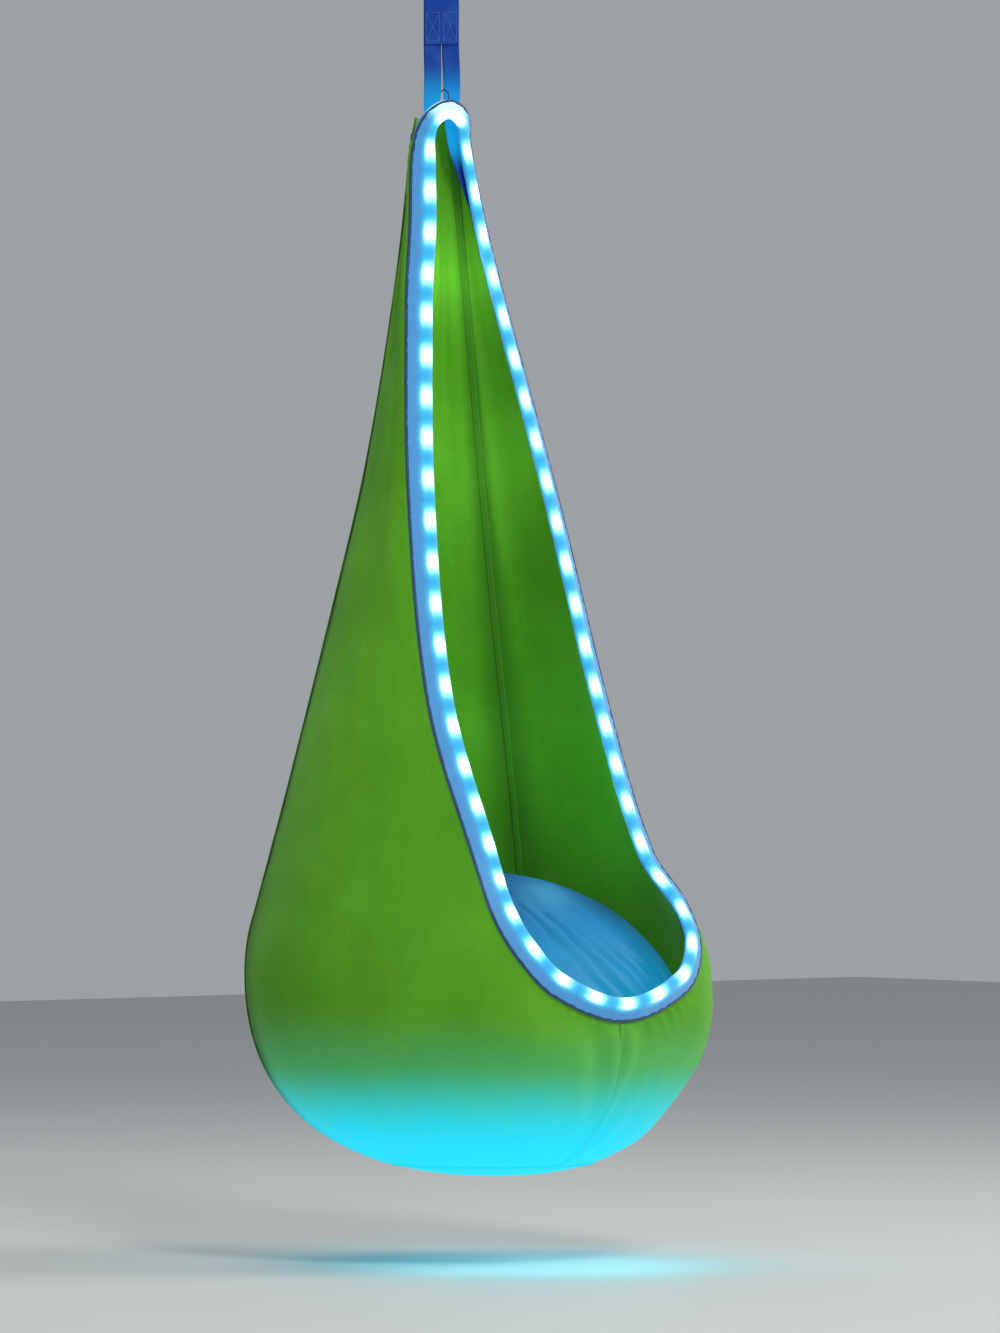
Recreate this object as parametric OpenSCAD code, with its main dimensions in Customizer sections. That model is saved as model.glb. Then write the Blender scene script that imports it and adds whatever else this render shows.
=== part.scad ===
// Lit pod swing: a fabric pod on one strap, with a lit rim, a base light and an air cushion.
// Millimetres. The origin is the centre of the hanging eye; the opening faces -Y; +Z is up.

/* [Pod] */
// Widest diameter of the fabric pod
pod_d = 680; // [560:10:820]
// Height of the fabric from its lowest point to its top edge
pod_h = 1556; // [1300:10:1880]
// Height of the widest level above the lowest point
bowl_h = 286; // [260:2:340]
// Drop from the hanging eye to the top edge of the fabric
pod_drop = 444; // [430:2:540]
// Thickness of the pod's padded fabric
fabric_t = 2; // [1.6:0.1:2.4]
// Thickness of the back panel, which has more padding
back_t = 3; // [2:0.1:4]
// Radius of the round base panel's seam
base_r = 150; // [125:5:180]
// Half angle of the back panel, from straight behind to its seams
back_half = 54; // [45:1:65]
// Gap left between two panels at a seam
seam_gap = 0.3; // [0.2:0.1:0.5]

/* [Rim sleeve and its light] */
// Width of the sleeve round the opening
sleeve_w = 42; // [38:1:50]
// Thickness of the sleeve's roll
sleeve_t = 17; // [16:0.5:20]
// Thickness of the sleeve's cloth
sleeve_wall = 1.5; // [1:0.1:1.8]
// Outer diameter of the clear light tube
tube_d = 10; // [9:0.5:11]
// Wall of the light tube
tube_wall = 1; // [0.8:0.1:1.2]
// Distance from one light to the next along the tube
led_pitch = 64; // [50:1:80]

/* [Straps and D-ring] */
// Width of the hanging strap
strap_w = 52; // [48:1:56]
// Thickness of the hanging strap's webbing
strap_t = 2.4; // [1.8:0.1:2.8]
// Length of the hanging strap below the D-ring's bar
strap_len = 115; // [100:1:125]
// Width of each leg of edge webbing
leg_w = 26; // [22:1:28]
// Thickness of the edge webbing
leg_t = 2; // [1.6:0.1:2.4]
// Wire diameter of the D-ring
ring_wire = 7; // [6:0.5:8]
// Turn of the strap and its hardware about the vertical, against the pod
hang_turn = -40; // [-60:5:0]

/* [Swivel and carabiner] */
// Bore diameter of the hanging eye
eye_bore_d = 23; // [18:1:25]
// Thickness of the hanging eye
eye_t = 12; // [10:1:14]
// Outer diameter of the swivel's housing
housing_d = 42; // [40:1:48]
// Diameter of the swivel's shaft
shaft_d = 12; // [10:1:13]
// Diameter of the bearing's balls
ball_d = 4; // [3:0.5:4]
// Wire diameter of the carabiner
link_wire = 10; // [9:0.5:11]
// Radius of the carabiner's bows, to the middle of the wire
link_r = 22; // [21:0.5:26]
// Travel of the carabiner's lock sleeve
lock_travel = 8; // [5:1:9]

/* [Cushion] */
// Height of the cushion's widest level above the pod's lowest point
cushion_mid_h = 200; // [180:5:230]
// Rise of the cushion's crown above its widest level
cushion_rise = 250; // [200:5:290]
// Gap between the cushion and the pod's wall
cushion_gap = 10.5; // [7:0.5:12]
// Thickness of the cushion's skin
skin_t = 0.8; // [0.6:0.1:1.6]
// Diameter of the cushion's valve
valve_d = 30; // [24:1:36]

/* [Base light] */
// Diameter of the base light
lamp_d = 110; // [90:2:130]
// Height of the base light
lamp_h = 22; // [20:1:26]
// Wall of the base light's shell
lamp_wall = 2.5; // [2:0.1:3]
// Number of lights on the base light's board
lamp_leds = 12; // [6:1:16]

/* [Battery case] */
// Outside width of the battery case
case_w = 146; // [145:1:160]
// Outside depth of the battery case
case_depth = 39; // [38.5:0.5:46]
// Outside height of the battery case
case_h = 82; // [80:1:96]
// Wall of the battery case
case_wall = 2.2; // [1.8:0.1:2.6]
// Diameter of one battery cell
cell_d = 33.2; // [31:0.1:33.4]
// Length of one battery cell
cell_l = 60; // [57:0.5:61]
// Diameter of the push button
button_d = 10; // [8:0.5:10]
// Travel of the push button
button_travel = 1.2; // [0.8:0.1:1.5]
// Diameter of the base light's lead
lead_d = 4; // [3:0.5:4.5]
// Diameter of the rim light's lead
thin_lead_d = 2; // [1.6:0.1:2.2]

/* [Hidden] */
$fn = 48;

// Clearances
rest_gap = 0.3; // between two bodies that rest on each other
run_gap = 0.3;  // between a moving piece and its guide

// Cloth and hardware colours
green = [0.36, 0.66, 0.20];
blue = [0.13, 0.32, 0.66];
cyan = [0.45, 0.85, 0.95];
steel = [0.75, 0.77, 0.80];
dark = [0.15, 0.16, 0.18];

// ---- shared maths ----

function unit(v) = v / norm(v);
function clamp01(x) = min(1, max(0, x));
function smooth01(x) = let (t = clamp01(x)) t * t * (3 - 2 * t);
function flip_x(p) = [-p[0], p[1], p[2]];

// Smooth curve through keys [[x, value], ...]; the end slopes may be given.
function key_slope(keys, i, first, last) =
    i == 0 && !is_undef(first) ? first
    : i == len(keys) - 1 && !is_undef(last) ? last
    : let (a = keys[max(0, i - 1)], b = keys[min(len(keys) - 1, i + 1)]) (b[1] - a[1]) / (b[0] - a[0]);
function key_span(keys, x, i = 0) = i >= len(keys) - 2 || x < keys[i + 1][0] ? i : key_span(keys, x, i + 1);
function curve(keys, x, first = undef, last = undef) =
    let (
        i = key_span(keys, x),
        a = keys[i],
        b = keys[i + 1],
        d = b[0] - a[0],
        t = (x - a[0]) / d,
        ta = key_slope(keys, i, first, last) * d,
        tb = key_slope(keys, i + 1, first, last) * d
    )
    a[1] * (1 + t * t * (2 * t - 3)) + ta * (t * (1 - t) * (1 - t)) + b[1] * (t * t * (3 - 2 * t)) - tb * (t * t * (1 - t));

// Triangles between rows of equal length; a closed solid needs both ends capped or joined.
function quad(a, b, c, d) = [[a, b, c], [a, c, d]];
function ring_faces(rings, sides, closed) = [
    for (i = [0:rings - (closed ? 1 : 2)], j = [0:sides - 1])
        let (k = (i + 1) % rings, m = (j + 1) % sides)
        each quad(i * sides + j, i * sides + m, k * sides + m, k * sides + j),
    if (!closed) [for (j = [sides - 1:-1:0]) j],
    if (!closed) [for (j = [0:sides - 1]) (rings - 1) * sides + j]
];

// Solid swept through rings of points.
module sweep_rings(rings, closed = false) {
    sides = len(rings[0]);
    polyhedron([for (r = rings) each r], ring_faces(len(rings), sides, closed), convexity = 6);
}

// Tube between two sets of rings, open at both ends.
module tube_rings(outer, inner) {
    sides = len(outer[0]);
    rings = len(outer);
    back = rings * sides;
    polyhedron(
        concat([for (r = outer) each r], [for (r = inner) each r]),
        [
            for (i = [0:rings - 2], j = [0:sides - 1])
                let (m = (j + 1) % sides, a = i * sides + j, b = i * sides + m, c = b + sides, d = a + sides)
                each concat(quad(a, b, c, d), quad(back + a, back + d, back + c, back + b)),
            for (j = [0:sides - 1])
                let (m = (j + 1) % sides, e = (rings - 1) * sides)
                each concat(quad(m, j, back + j, back + m), quad(e + j, e + m, back + e + m, back + e + j))
        ],
        convexity = 6
    );
}

// Cloth of thickness t on a grid of points.
function grid_normal(g, i, j) =
    let (
        n = len(g) - 1,
        m = len(g[0]) - 1,
        du = g[min(n, i + 1)][j] - g[max(0, i - 1)][j],
        dv = g[i][min(m, j + 1)] - g[i][max(0, j - 1)]
    )
    unit(cross(du, dv));
function grid_offset(g, t) = [
    for (i = [0:len(g) - 1]) [for (j = [0:len(g[0]) - 1]) g[i][j] + grid_normal(g, i, j) * t]
];
module cloth(g, t) {
    n = len(g);
    m = len(g[0]);
    outer = grid_offset(g, t / 2);
    inner = grid_offset(g, -t / 2);
    back = n * m;
    last = (n - 1) * m;
    polyhedron(
        concat([for (r = outer) each r], [for (r = inner) each r]),
        [
            for (i = [0:n - 2], j = [0:m - 2])
                let (a = i * m + j, b = a + 1, c = a + m + 1, d = a + m)
                each concat(quad(a, b, c, d), quad(back + a, back + d, back + c, back + b)),
            for (j = [0:m - 2])
                each concat(
                    quad(j + 1, j, back + j, back + j + 1),
                    quad(last + j, last + j + 1, back + last + j + 1, back + last + j)
                ),
            for (i = [0:n - 2])
                each concat(
                    quad(i * m, (i + 1) * m, back + (i + 1) * m, back + i * m),
                    quad(i * m + 2 * m - 1, i * m + m - 1, back + i * m + m - 1, back + i * m + 2 * m - 1)
                )
        ],
        convexity = 6
    );
}

// ---- shape of the pod ----

pod_r = pod_d / 2;
pod_top = -pod_drop;
pod_z = pod_top - pod_h;
side_h = pod_h - bowl_h;
bowl_power = 2.35;     // fullness of the bowl's outline
bowl_arc = 1.47 * pod_r; // length of the bowl's outline, from its widest level to its lowest point

// Half width above the bowl: share of the height, share of the pod's radius
side_keys = [[0, 1], [0.05, 0.983], [0.1, 0.931], [0.25, 0.77], [0.45, 0.559], [0.6, 0.412], [0.8, 0.26], [1, 0.135]];
// Forward lean of the middle: share of the pod's height, share of the pod's radius
lean_keys = [
    [0, 0.359], [0.02, 0.33], [0.05, 0.288], [0.11, 0.253], [0.2, 0.22], [0.36, 0.193], [0.55, 0.147], [0.74, 0.106],
    [0.9, 0.059], [1, 0.015]
];

function lean(h) = curve(lean_keys, clamp01(h / pod_h)) * pod_r;
// m is the distance up the outline from the widest level, negative in the bowl
function bowl_angle(m) = -90 * m / bowl_arc;
function level(m) = m >= 0 ? bowl_h + m : bowl_h * (1 - pow(sin(min(90, bowl_angle(m))), 2 / bowl_power));
function half_width(m) =
    m >= 0 ? curve(side_keys, m / side_h, first = 0) * pod_r : pod_r * pow(cos(min(90, bowl_angle(m))), 2 / bowl_power);
function outline_at(h) =
    h >= bowl_h ? h - bowl_h : -bowl_arc * asin(pow(1 - h / bowl_h, bowl_power / 2)) / 90;
// Point of the wall: angle from the front, distance up the outline, and pull of the rim on the radius
function wall(angle, m, pull = 1) =
    let (h = level(m), r = half_width(m) * pull)
    [r * sin(angle), -lean(h) - r * cos(angle), pod_z + h];

m_top = side_h;
m_base = outline_at(bowl_h * (1 - pow(1 - pow(base_r / pod_r, bowl_power), 1 / bowl_power)));
seam_angle = 180 - back_half;

// ---- rim of the opening ----

// Right half of the rim, from the top of the arch to the lip: across, forward (in pod radii), up (in pod heights)
rim_shape = [
    [0, 0.053, 1.0232], [0.088, 0.044, 1.0135], [0.118, 0.024, 0.9936], [0.17, 0.075, 0.91], [0.235, 0.129, 0.8355],
    [0.3765, 0.3147, 0.646], [0.459, 0.544, 0.453], [0.462, 0.847, 0.3085], [0.512, 1.029, 0.257],
    [0.482, 1.141, 0.2217], [0.353, 1.212, 0.1877], [0, 1.235, 0.1632]
];
rim_points = [for (p = rim_shape) [p[0] * pod_r, -p[1] * pod_r, pod_z + p[2] * pod_h]];
function run_length(pts, i) = i == 0 ? 0 : run_length(pts, i - 1) + norm(pts[i] - pts[i - 1]);
rim_keys = [for (i = [0:len(rim_points) - 1]) [run_length(rim_points, i), rim_points[i]]];
rim_half = rim_keys[len(rim_keys) - 1][0];
// Turn of the sleeve's face towards the side, and its width, along the half rim
turn_keys = [[0, 0], [0.05, 34], [0.12, 36], [0.5, 25], [0.75, 20], [0.85, 18], [0.95, 6], [1, 0]];
width_keys = [[0, 0.68], [0.03, 0.72], [0.07, 0.93], [0.15, 1], [0.7, 1], [0.9, 0.92], [1, 0.88]];
lip_flare = 0.27; // outward lean of the sleeve at the lip

function rim_right(s) = curve(rim_keys, s, first = [1, 0, 0], last = [-1, 0, 0]);
function rim_at(s) = s <= rim_half ? rim_right(s) : flip_x(rim_right(2 * rim_half - s));
function rim_share(s) = (s <= rim_half ? s : 2 * rim_half - s) / rim_half;
function rim_side(s) = s <= rim_half ? 1 : -1;
function rim_width(s) = sleeve_w * curve(width_keys, rim_share(s));
function rim_along(s) =
    s <= rim_half ? unit(rim_right(min(rim_half, s + 1)) - rim_right(max(0, s - 1)))
    : let (a = rim_along(2 * rim_half - s)) [a[0], -a[1], -a[2]];
function rim_face(s) =
    let (
        q = rim_share(s),
        a = curve(turn_keys, q),
        aim = [rim_side(s) * sin(a), -cos(a), -lip_flare * smooth01((q - 0.85) / 0.15)],
        t = rim_along(s)
    )
    unit(aim - t * (aim * t));
// Into the opening, across the sleeve
function rim_inward(s) = cross(rim_along(s), rim_face(s));
function rim_place(s, b, n) = rim_at(s) + rim_inward(s) * b + rim_face(s) * n;

// Stations along the rim, closer together at the arch and at the lip
rim_steps = 44; // in each half
rim_crowd = 0.74;
function rim_station(i) = let (q = i / rim_steps) rim_half * (q - rim_crowd / (2 * PI) * sin(360 * q));
// The whole loop, from the lip up the left side, over the arch and down the right side
function rim_loop(j) = j < 0 ? 2 * rim_half - rim_station(-j) : rim_station(j);

// ---- fabric panels ----

tuck = 4;  // reach of a panel into the sleeve
hem = 2;   // flat strip of a panel just outside the sleeve
panel_columns = [0.035, 0.1, 0.19, 0.3, 0.43, 0.57, 0.72, 0.86, 1];
pull_reach = 0.55; // share of a panel's width over which the rim's pull fades
side_rows = 12;    // of the back panel, above the bowl
bowl_rows = 14;    // of the back panel, in the bowl
back_columns = 10;
front_rows = 13;   // of a side panel, from its lower back corner round to the front
base_rings = 5;

function rim_edge(s, beyond) = rim_place(s, -rim_width(s) / 2 - beyond, 0);
// Angle, distance up the outline and pull of a point on the rim
function wall_place(p) =
    let (h = p[2] - pod_z, m = outline_at(h), across = [p[0], -p[1] - lean(h)])
    [atan2(across[0], across[1]), m, norm(across) / half_width(m)];
rim_first = min([for (i = [0:rim_steps]) if (rim_edge(rim_station(i), hem)[2] <= pod_top) i]);
rim_corner = rim_steps - front_rows; // row that ends at the panel's lower back corner
seam_crowd = 1.15;                   // rows lie closer together down the seam

// Far end of a panel's row: down the back seam, then round the base seam to the front
function far_end(i) =
    i <= rim_corner
    ? let (
        s0 = rim_station(rim_first),
        share = (rim_station(i) - s0) / (rim_station(rim_corner) - s0)
    )
    [seam_angle, m_top + (m_base - m_top) * (1 - pow(max(0, 1 - share), seam_crowd))]
    : [seam_angle * (rim_steps - i) / front_rows, m_base];

function side_row(i) =
    let (
        s = rim_station(i),
        near = wall_place(rim_edge(s, hem)),
        far = far_end(i)
    )
    [
        rim_edge(s, -tuck),
        rim_edge(s, hem),
        for (b = panel_columns)
            wall(
                near[0] + (far[0] - near[0]) * b,
                near[1] + (far[1] - near[1]) * b,
                1 + (near[2] - 1) * (1 - smooth01(b / pull_reach))
            )
    ];
module side_panel() {
    rows = [for (i = [rim_first:rim_steps]) [for (p = side_row(i)) p + [seam_gap / 2, 0, 0]]];
    cloth(rows, fabric_t);
}

module right_panel() { color(green) side_panel(); }
module left_panel() { color(green) mirror([1, 0, 0]) side_panel(); }

back_levels = concat(
    [for (i = [0:side_rows - 1]) m_top * pow(1 - i / side_rows, 1.4)],
    [for (i = [0:bowl_rows]) m_base * i / bowl_rows]
);
module back_panel() {
    color(green) cloth(
        [
            for (m = back_levels)
                let (edge = seam_angle + seam_gap / half_width(m) * 180 / PI)
                [for (j = [0:back_columns]) wall(edge + (360 - 2 * edge) * j / back_columns, m)]
        ],
        back_t
    );
}

function wall_normal(angle, m) =
    unit(cross(wall(angle, m - 1) - wall(angle, m + 1), wall(angle + 1, m) - wall(angle - 1, m)));
// The base panel's corners lie at the ends of the other panels' rows
base_angles = concat(
    [for (k = [0:front_rows - 1]) seam_angle * k / front_rows],
    [for (k = [0:back_columns - 1]) seam_angle + 2 * back_half * k / back_columns],
    [for (k = [0:front_rows - 1]) 360 - seam_angle * (1 - k / front_rows)]
);
base_sides = len(base_angles);
module base_panel() {
    rings = [
        for (k = [0:base_rings - 1])
            let (m = m_base - seam_gap - (bowl_arc + m_base) * k / base_rings)
            [for (a = base_angles) [a, m]]
    ];
    pole = wall(0, -bowl_arc);
    count = base_rings * base_sides;
    skin = count + 1;
    last = (base_rings - 1) * base_sides;
    color(green) polyhedron(
        concat(
            [for (r = rings, q = r) wall(q[0], q[1]) + wall_normal(q[0], q[1]) * fabric_t / 2],
            [pole - [0, 0, fabric_t / 2]],
            [for (r = rings, q = r) wall(q[0], q[1]) - wall_normal(q[0], q[1]) * fabric_t / 2],
            [pole + [0, 0, fabric_t / 2]]
        ),
        [
            for (k = [0:base_rings - 2], j = [0:base_sides - 1])
                let (m = (j + 1) % base_sides, a = k * base_sides + j, b = k * base_sides + m, c = b + base_sides,
                     d = a + base_sides)
                each concat(quad(a, b, c, d), quad(skin + a, skin + d, skin + c, skin + b)),
            for (j = [0:base_sides - 1])
                let (m = (j + 1) % base_sides)
                each [
                    [last + j, last + m, count],
                    [skin + last + m, skin + last + j, skin + count],
                    each quad(m, j, skin + j, skin + m)
                ]
        ],
        convexity = 4
    );
}

// ---- sleeve and light tube round the opening ----

lip_in = fabric_t / 2 + 0.2;    // half the slit that holds the panel
lip_out = lip_in + sleeve_wall;
roll_r = sleeve_t / 2;
roll_arc = [-50, 0, 50];

function sleeve_section(w) =
    let (e = w / 2, c = e - roll_r, r = roll_r - sleeve_wall, mid = (c - e) / 2, bow = 0.62 * roll_r + 0.38 * lip_out)
    [
        [-e, -lip_out], [mid, -bow], [c, -roll_r],
        for (a = roll_arc) [c + roll_r * cos(a), roll_r * sin(a)],
        [c, roll_r], [mid, bow], [-e, lip_out],
        [-e, lip_in], [mid, bow - sleeve_wall], [c, r],
        for (a = [for (k = [len(roll_arc) - 1:-1:0]) roll_arc[k]]) [c + r * cos(a), r * sin(a)],
        [c, -r], [mid, sleeve_wall - bow], [-e, -lip_in]
    ];
module light_sleeve() {
    color(cyan) sweep_rings(
        [
            for (j = [1 - rim_steps:rim_steps])
                let (s = rim_loop(j)) [for (q = sleeve_section(rim_width(s))) rim_place(s, q[0], q[1])]
        ],
        closed = true
    );
}

joint_gap = 6; // half the gap at the arch between the light tube's two ends
tube_in = tube_d / 2 - tube_wall;
function tube_place(s, b, n) = rim_place(s, rim_width(s) / 2 - roll_r + b, n);
function tube_ring(s, r) = [for (k = [0:7]) tube_place(s, r * cos(45 * k), r * sin(45 * k))];
tube_stations = [
    for (j = [0:2 * rim_steps])
        let (s = j <= rim_steps ? rim_station(j) : 2 * rim_half - rim_station(2 * rim_steps - j))
        min(max(s, joint_gap), 2 * rim_half - joint_gap)
];
module light_tube() {
    color(cyan) tube_rings(
        [for (s = tube_stations) tube_ring(s, tube_d / 2)],
        [for (s = tube_stations) tube_ring(s, tube_in)]
    );
}

ribbon_w = 5;
ribbon_t = 0.8;
ribbon_n = -1.2; // the ribbon's upper face, behind the tube's middle
module led_ribbon() {
    color("white") sweep_rings([
        for (s = tube_stations)
            [
                for (q = [[-ribbon_w / 2, ribbon_n - ribbon_t], [ribbon_w / 2, ribbon_n - ribbon_t],
                          [ribbon_w / 2, ribbon_n], [-ribbon_w / 2, ribbon_n]])
                    tube_place(s, q[0], q[1])
            ]
    ]);
}

// Chips face the front: local x is the sleeve's face, y points into the opening, z runs along
chip = [1.2, 2.8, 5];
led_start = 20; // from the top of the arch to the first light
led_count = round((2 * rim_half - 2 * led_start) / led_pitch);
module at_tube(s) {
    p = tube_place(s, 0, ribbon_n);
    n = rim_face(s);
    b = rim_inward(s);
    t = rim_along(s);
    multmatrix([[n[0], b[0], t[0], p[0]], [n[1], b[1], t[1], p[1]], [n[2], b[2], t[2], p[2]], [0, 0, 0, 1]])
        children();
}
module led_chips() {
    color("white")
        for (k = [0:led_count])
            at_tube(led_start + k * (2 * rim_half - 2 * led_start) / led_count)
                translate([0.25, -chip[1] / 2, -chip[2] / 2]) cube(chip);
}

// Plug that closes the tube's two ends at the arch and takes the lead through the sleeve's slit
joint_len = 2 * joint_gap - 5;
module tube_joint() {
    color(dark) translate(tube_place(0, 0, 0)) {
        rotate([0, 90, 0]) cylinder(d = tube_d - 1, h = joint_len, center = true);
        cylinder(d = thin_lead_d + 1.6, h = roll_r);
    }
}

// ---- webbing ----

strap_top = -195;                      // middle of the D-ring's bar
strap_end = strap_top - strap_len;
leg_overlap = 65;                      // stretch of the legs sewn into the strap
leg_apart = 0.5;                       // half the gap between the two legs
leg_room = 1.4;                        // from the webbing to the back of the sleeve
leg_join = 0.1;                        // share of the half rim where a leg reaches the sleeve
// The legs between strap and sleeve: drop below the strap's end, across, forward, share of the twist
neck_rows = [[50, 14.5, 2, 0.12], [92, 17, 1, 0.4], [128, 22, -2, 0.68], [165, 30, -3, 0.9]];

function strap_turn(p) =
    [p[0] * cos(hang_turn) - p[1] * sin(hang_turn), p[0] * sin(hang_turn) + p[1] * cos(hang_turn), p[2]];
function leg_slope(s) = atan((roll_r - lip_out) / (rim_width(s) - roll_r));
function leg_back(s) =
    let (b = leg_w / 2 + 1, a = leg_slope(s))
    rim_place(s, b - rim_width(s) / 2, -lip_out - b * tan(a) - (leg_t / 2 + leg_room) / cos(a));
// Direction across a leg of webbing behind the sleeve
function leg_across(s, side) =
    side * (rim_face(s) * sin(leg_slope(s)) - rim_inward(s) * cos(leg_slope(s)));
function square_to(v, t) = unit(v - t * (v * t));

function leg_points(side) =
    let (
        top = strap_turn([side * (leg_w / 2 + leg_apart), 0, 0]),
        join = leg_join * rim_half
    )
    [
        for (z = [strap_end + leg_overlap, strap_end - 2]) [top + [0, 0, z], 0],
        for (r = neck_rows)
            [[side * r[1], -r[2] + (1 - r[3]) * 0.6 * top[1], strap_end - r[0]], r[3]],
        for (i = [1:rim_steps])
            let (s = rim_station(i))
            if (s > join) [side > 0 ? leg_back(min(s, rim_half - 1)) : flip_x(leg_back(min(s, rim_half - 1))), 1]
    ];
module edge_webbing(side) {
    pts = leg_points(side);
    n = len(pts) - 1;
    across0 = strap_turn([1, 0, 0]);
    join = leg_join * rim_half;
    stations = [for (i = [1:rim_steps]) let (s = rim_station(i)) if (s > join) min(s, rim_half - 1)];
    first = len(pts) - len(stations);
    function across_at(i) =
        let (
            s = stations[max(0, i - first)],
            right = leg_across(s, 1),
            there = side > 0 ? right : -flip_x(right),
            k = pts[i][1]
        )
        unit(across0 * (1 - k) + there * k);
    color(blue) sweep_rings([
        for (i = [0:n])
            let (
                t = unit(pts[min(n, i + 1)][0] - pts[max(0, i - 1)][0]),
                w = square_to(across_at(i), t),
                f = cross(w, t)
            )
            [
                for (q = [[-1, -1], [1, -1], [1, 1], [-1, 1]])
                    pts[i][0] + w * q[0] * leg_w / 2 + f * q[1] * leg_t / 2
            ]
    ]);
}
module edge_webbing_left() { edge_webbing(-1); }
module edge_webbing_right() { edge_webbing(1); }

// Turns the strap and its hardware to face the same way
module hung() { rotate([0, 0, hang_turn]) children(); }

ply_in = leg_t / 2 + 0.2;        // inner face of each ply, from the strap's middle
loop_in = ring_wire / 2 + run_gap;
module strap_loop_2d(r, half) {
    circle(r = r);
    polygon([[-half, -strap_len], [half, -strap_len], [half, -22], [r, 0], [-r, 0], [-half, -22]]);
}
module hanging_strap() {
    color(blue) hung() translate([strap_w / 2, 0, strap_top]) rotate([90, 0, -90]) linear_extrude(strap_w)
        difference() {
            strap_loop_2d(loop_in + strap_t, ply_in + strap_t);
            strap_loop_2d(loop_in, ply_in);
            translate([-ply_in, -strap_len - 1]) square([2 * ply_in, 2]);
        }
}

// ---- D-ring ----

ring_half = strap_w / 2 + 5;   // half width of the D-ring, to the middle of the wire
ring_corner = 6;
ring_rise = 8;                 // straight side between corner and bow
ring_top = strap_top + ring_rise + ring_half;
module ring_corner_part() {
    rotate([90, 0, 0]) rotate_extrude(angle = 90) translate([ring_corner, 0]) circle(d = ring_wire);
}
module d_ring() {
    color(steel) hung() translate([0, 0, strap_top]) {
        translate([-ring_half + ring_corner, 0, 0]) rotate([0, 90, 0])
            cylinder(d = ring_wire, h = 2 * (ring_half - ring_corner));
        for (side = [0, 1]) mirror([side, 0, 0]) {
            translate([ring_half - ring_corner, 0, ring_corner]) mirror([0, 0, 1]) ring_corner_part();
            translate([ring_half, 0, ring_corner]) cylinder(d = ring_wire, h = ring_rise - ring_corner);
        }
        translate([0, 0, ring_rise]) rotate([90, 0, 0])
            rotate_extrude(angle = 180) translate([ring_half, 0]) circle(d = ring_wire);
    }
}

// ---- carabiner ----

link_low = ring_top - ring_wire / 2 - rest_gap - link_wire / 2; // lowest point of the wire's middle
link_span = 49;                                                 // between the centres of the two bows
bow_low = link_low + link_r;
bow_high = bow_low + link_span;
link_high = bow_high + link_r;
gate_d = 8.5;
pin_d = 3;
pivot_z = bow_low + 4;
gate_root = 5.2;               // from the pin to the gate's round, clear of the fork as it swings
gate_end = bow_high - 8;
fork_t = 2.6;
sleeve_d = 14;
lock_z = pivot_z + 12;         // lower end of the lock sleeve
sleeve_len = gate_end - lock_z - lock_travel - run_gap;

// Local frame of the carabiner: its plane is YZ, its gate on the +Y side
module link_bow(z, up) {
    translate([0, 0, z]) rotate([up ? 0 : 180, 0, 0]) rotate([90, 0, 90])
        rotate_extrude(angle = 180) translate([link_r, 0]) circle(d = link_wire);
}
module carabiner_body() {
    color(steel) hung() {
        link_bow(bow_low, false);
        link_bow(bow_high, true);
        translate([0, -link_r, bow_low]) cylinder(d = link_wire, h = link_span);
        // nose above the gate, with a slot's width of clearance
        translate([0, link_r, gate_end + run_gap + 1]) cylinder(d = gate_d, h = bow_high - gate_end - run_gap - 1);
        // forked end that carries the gate's pin
        difference() {
            translate([0, link_r, bow_low]) cylinder(d = link_wire, h = pivot_z - bow_low + 3);
            translate([-link_wire / 2 + fork_t, link_r - link_wire, bow_low + 0.5])
                cube([link_wire - 2 * fork_t, 2 * link_wire, 2 * link_wire]);
            translate([-link_wire, link_r, pivot_z]) rotate([0, 90, 0]) cylinder(d = pin_d, h = 2 * link_wire);
        }
    }
}
tang_w = link_wire - 2 * fork_t - 2 * run_gap;
module carabiner_gate() {
    color(steel) hung() difference() {
        union() {
            translate([0, link_r, pivot_z + gate_root]) cylinder(d = gate_d, h = gate_end - pivot_z - gate_root);
            intersection() {
                translate([-tang_w / 2, link_r - 3, pivot_z - 3]) cube([tang_w, 6, 9]);
                union() {
                    translate([-tang_w, link_r, pivot_z]) rotate([0, 90, 0]) cylinder(d = 6, h = 2 * tang_w);
                    translate([-tang_w, link_r - 3, pivot_z]) cube([2 * tang_w, 6, 9]);
                }
            }
        }
        translate([-tang_w, link_r, pivot_z]) rotate([0, 90, 0]) cylinder(d = pin_d + 0.1, h = 2 * tang_w);
        translate([0, link_r, pivot_z + 12]) cylinder(d = 3.6, h = 14);
    }
}
module gate_pin() {
    color(steel) hung() translate([-link_wire / 2 + 0.2, link_r, pivot_z]) rotate([0, 90, 0])
        cylinder(d = pin_d, h = link_wire - 0.4);
}
module gate_spring() {
    color(steel) hung() translate([0, link_r, pivot_z + 12.8])
        rotate_extrude() for (k = [0:12]) translate([1.1, 0.9 * k + 0.5]) circle(d = 1);
}
module lock_sleeve() {
    color(dark) hung() translate([0, link_r, lock_z]) difference() {
        union() {
            cylinder(d = sleeve_d, h = sleeve_len);
            for (k = [0:11]) rotate([0, 0, 30 * k]) translate([sleeve_d / 2 - 0.5, -0.6, 1.5])
                cube([1.2, 1.2, sleeve_len - 3]);
        }
        translate([0, 0, -1]) cylinder(d = gate_d + 2 * run_gap, h = sleeve_len + 2);
    }
}

// ---- swivel ----

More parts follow.
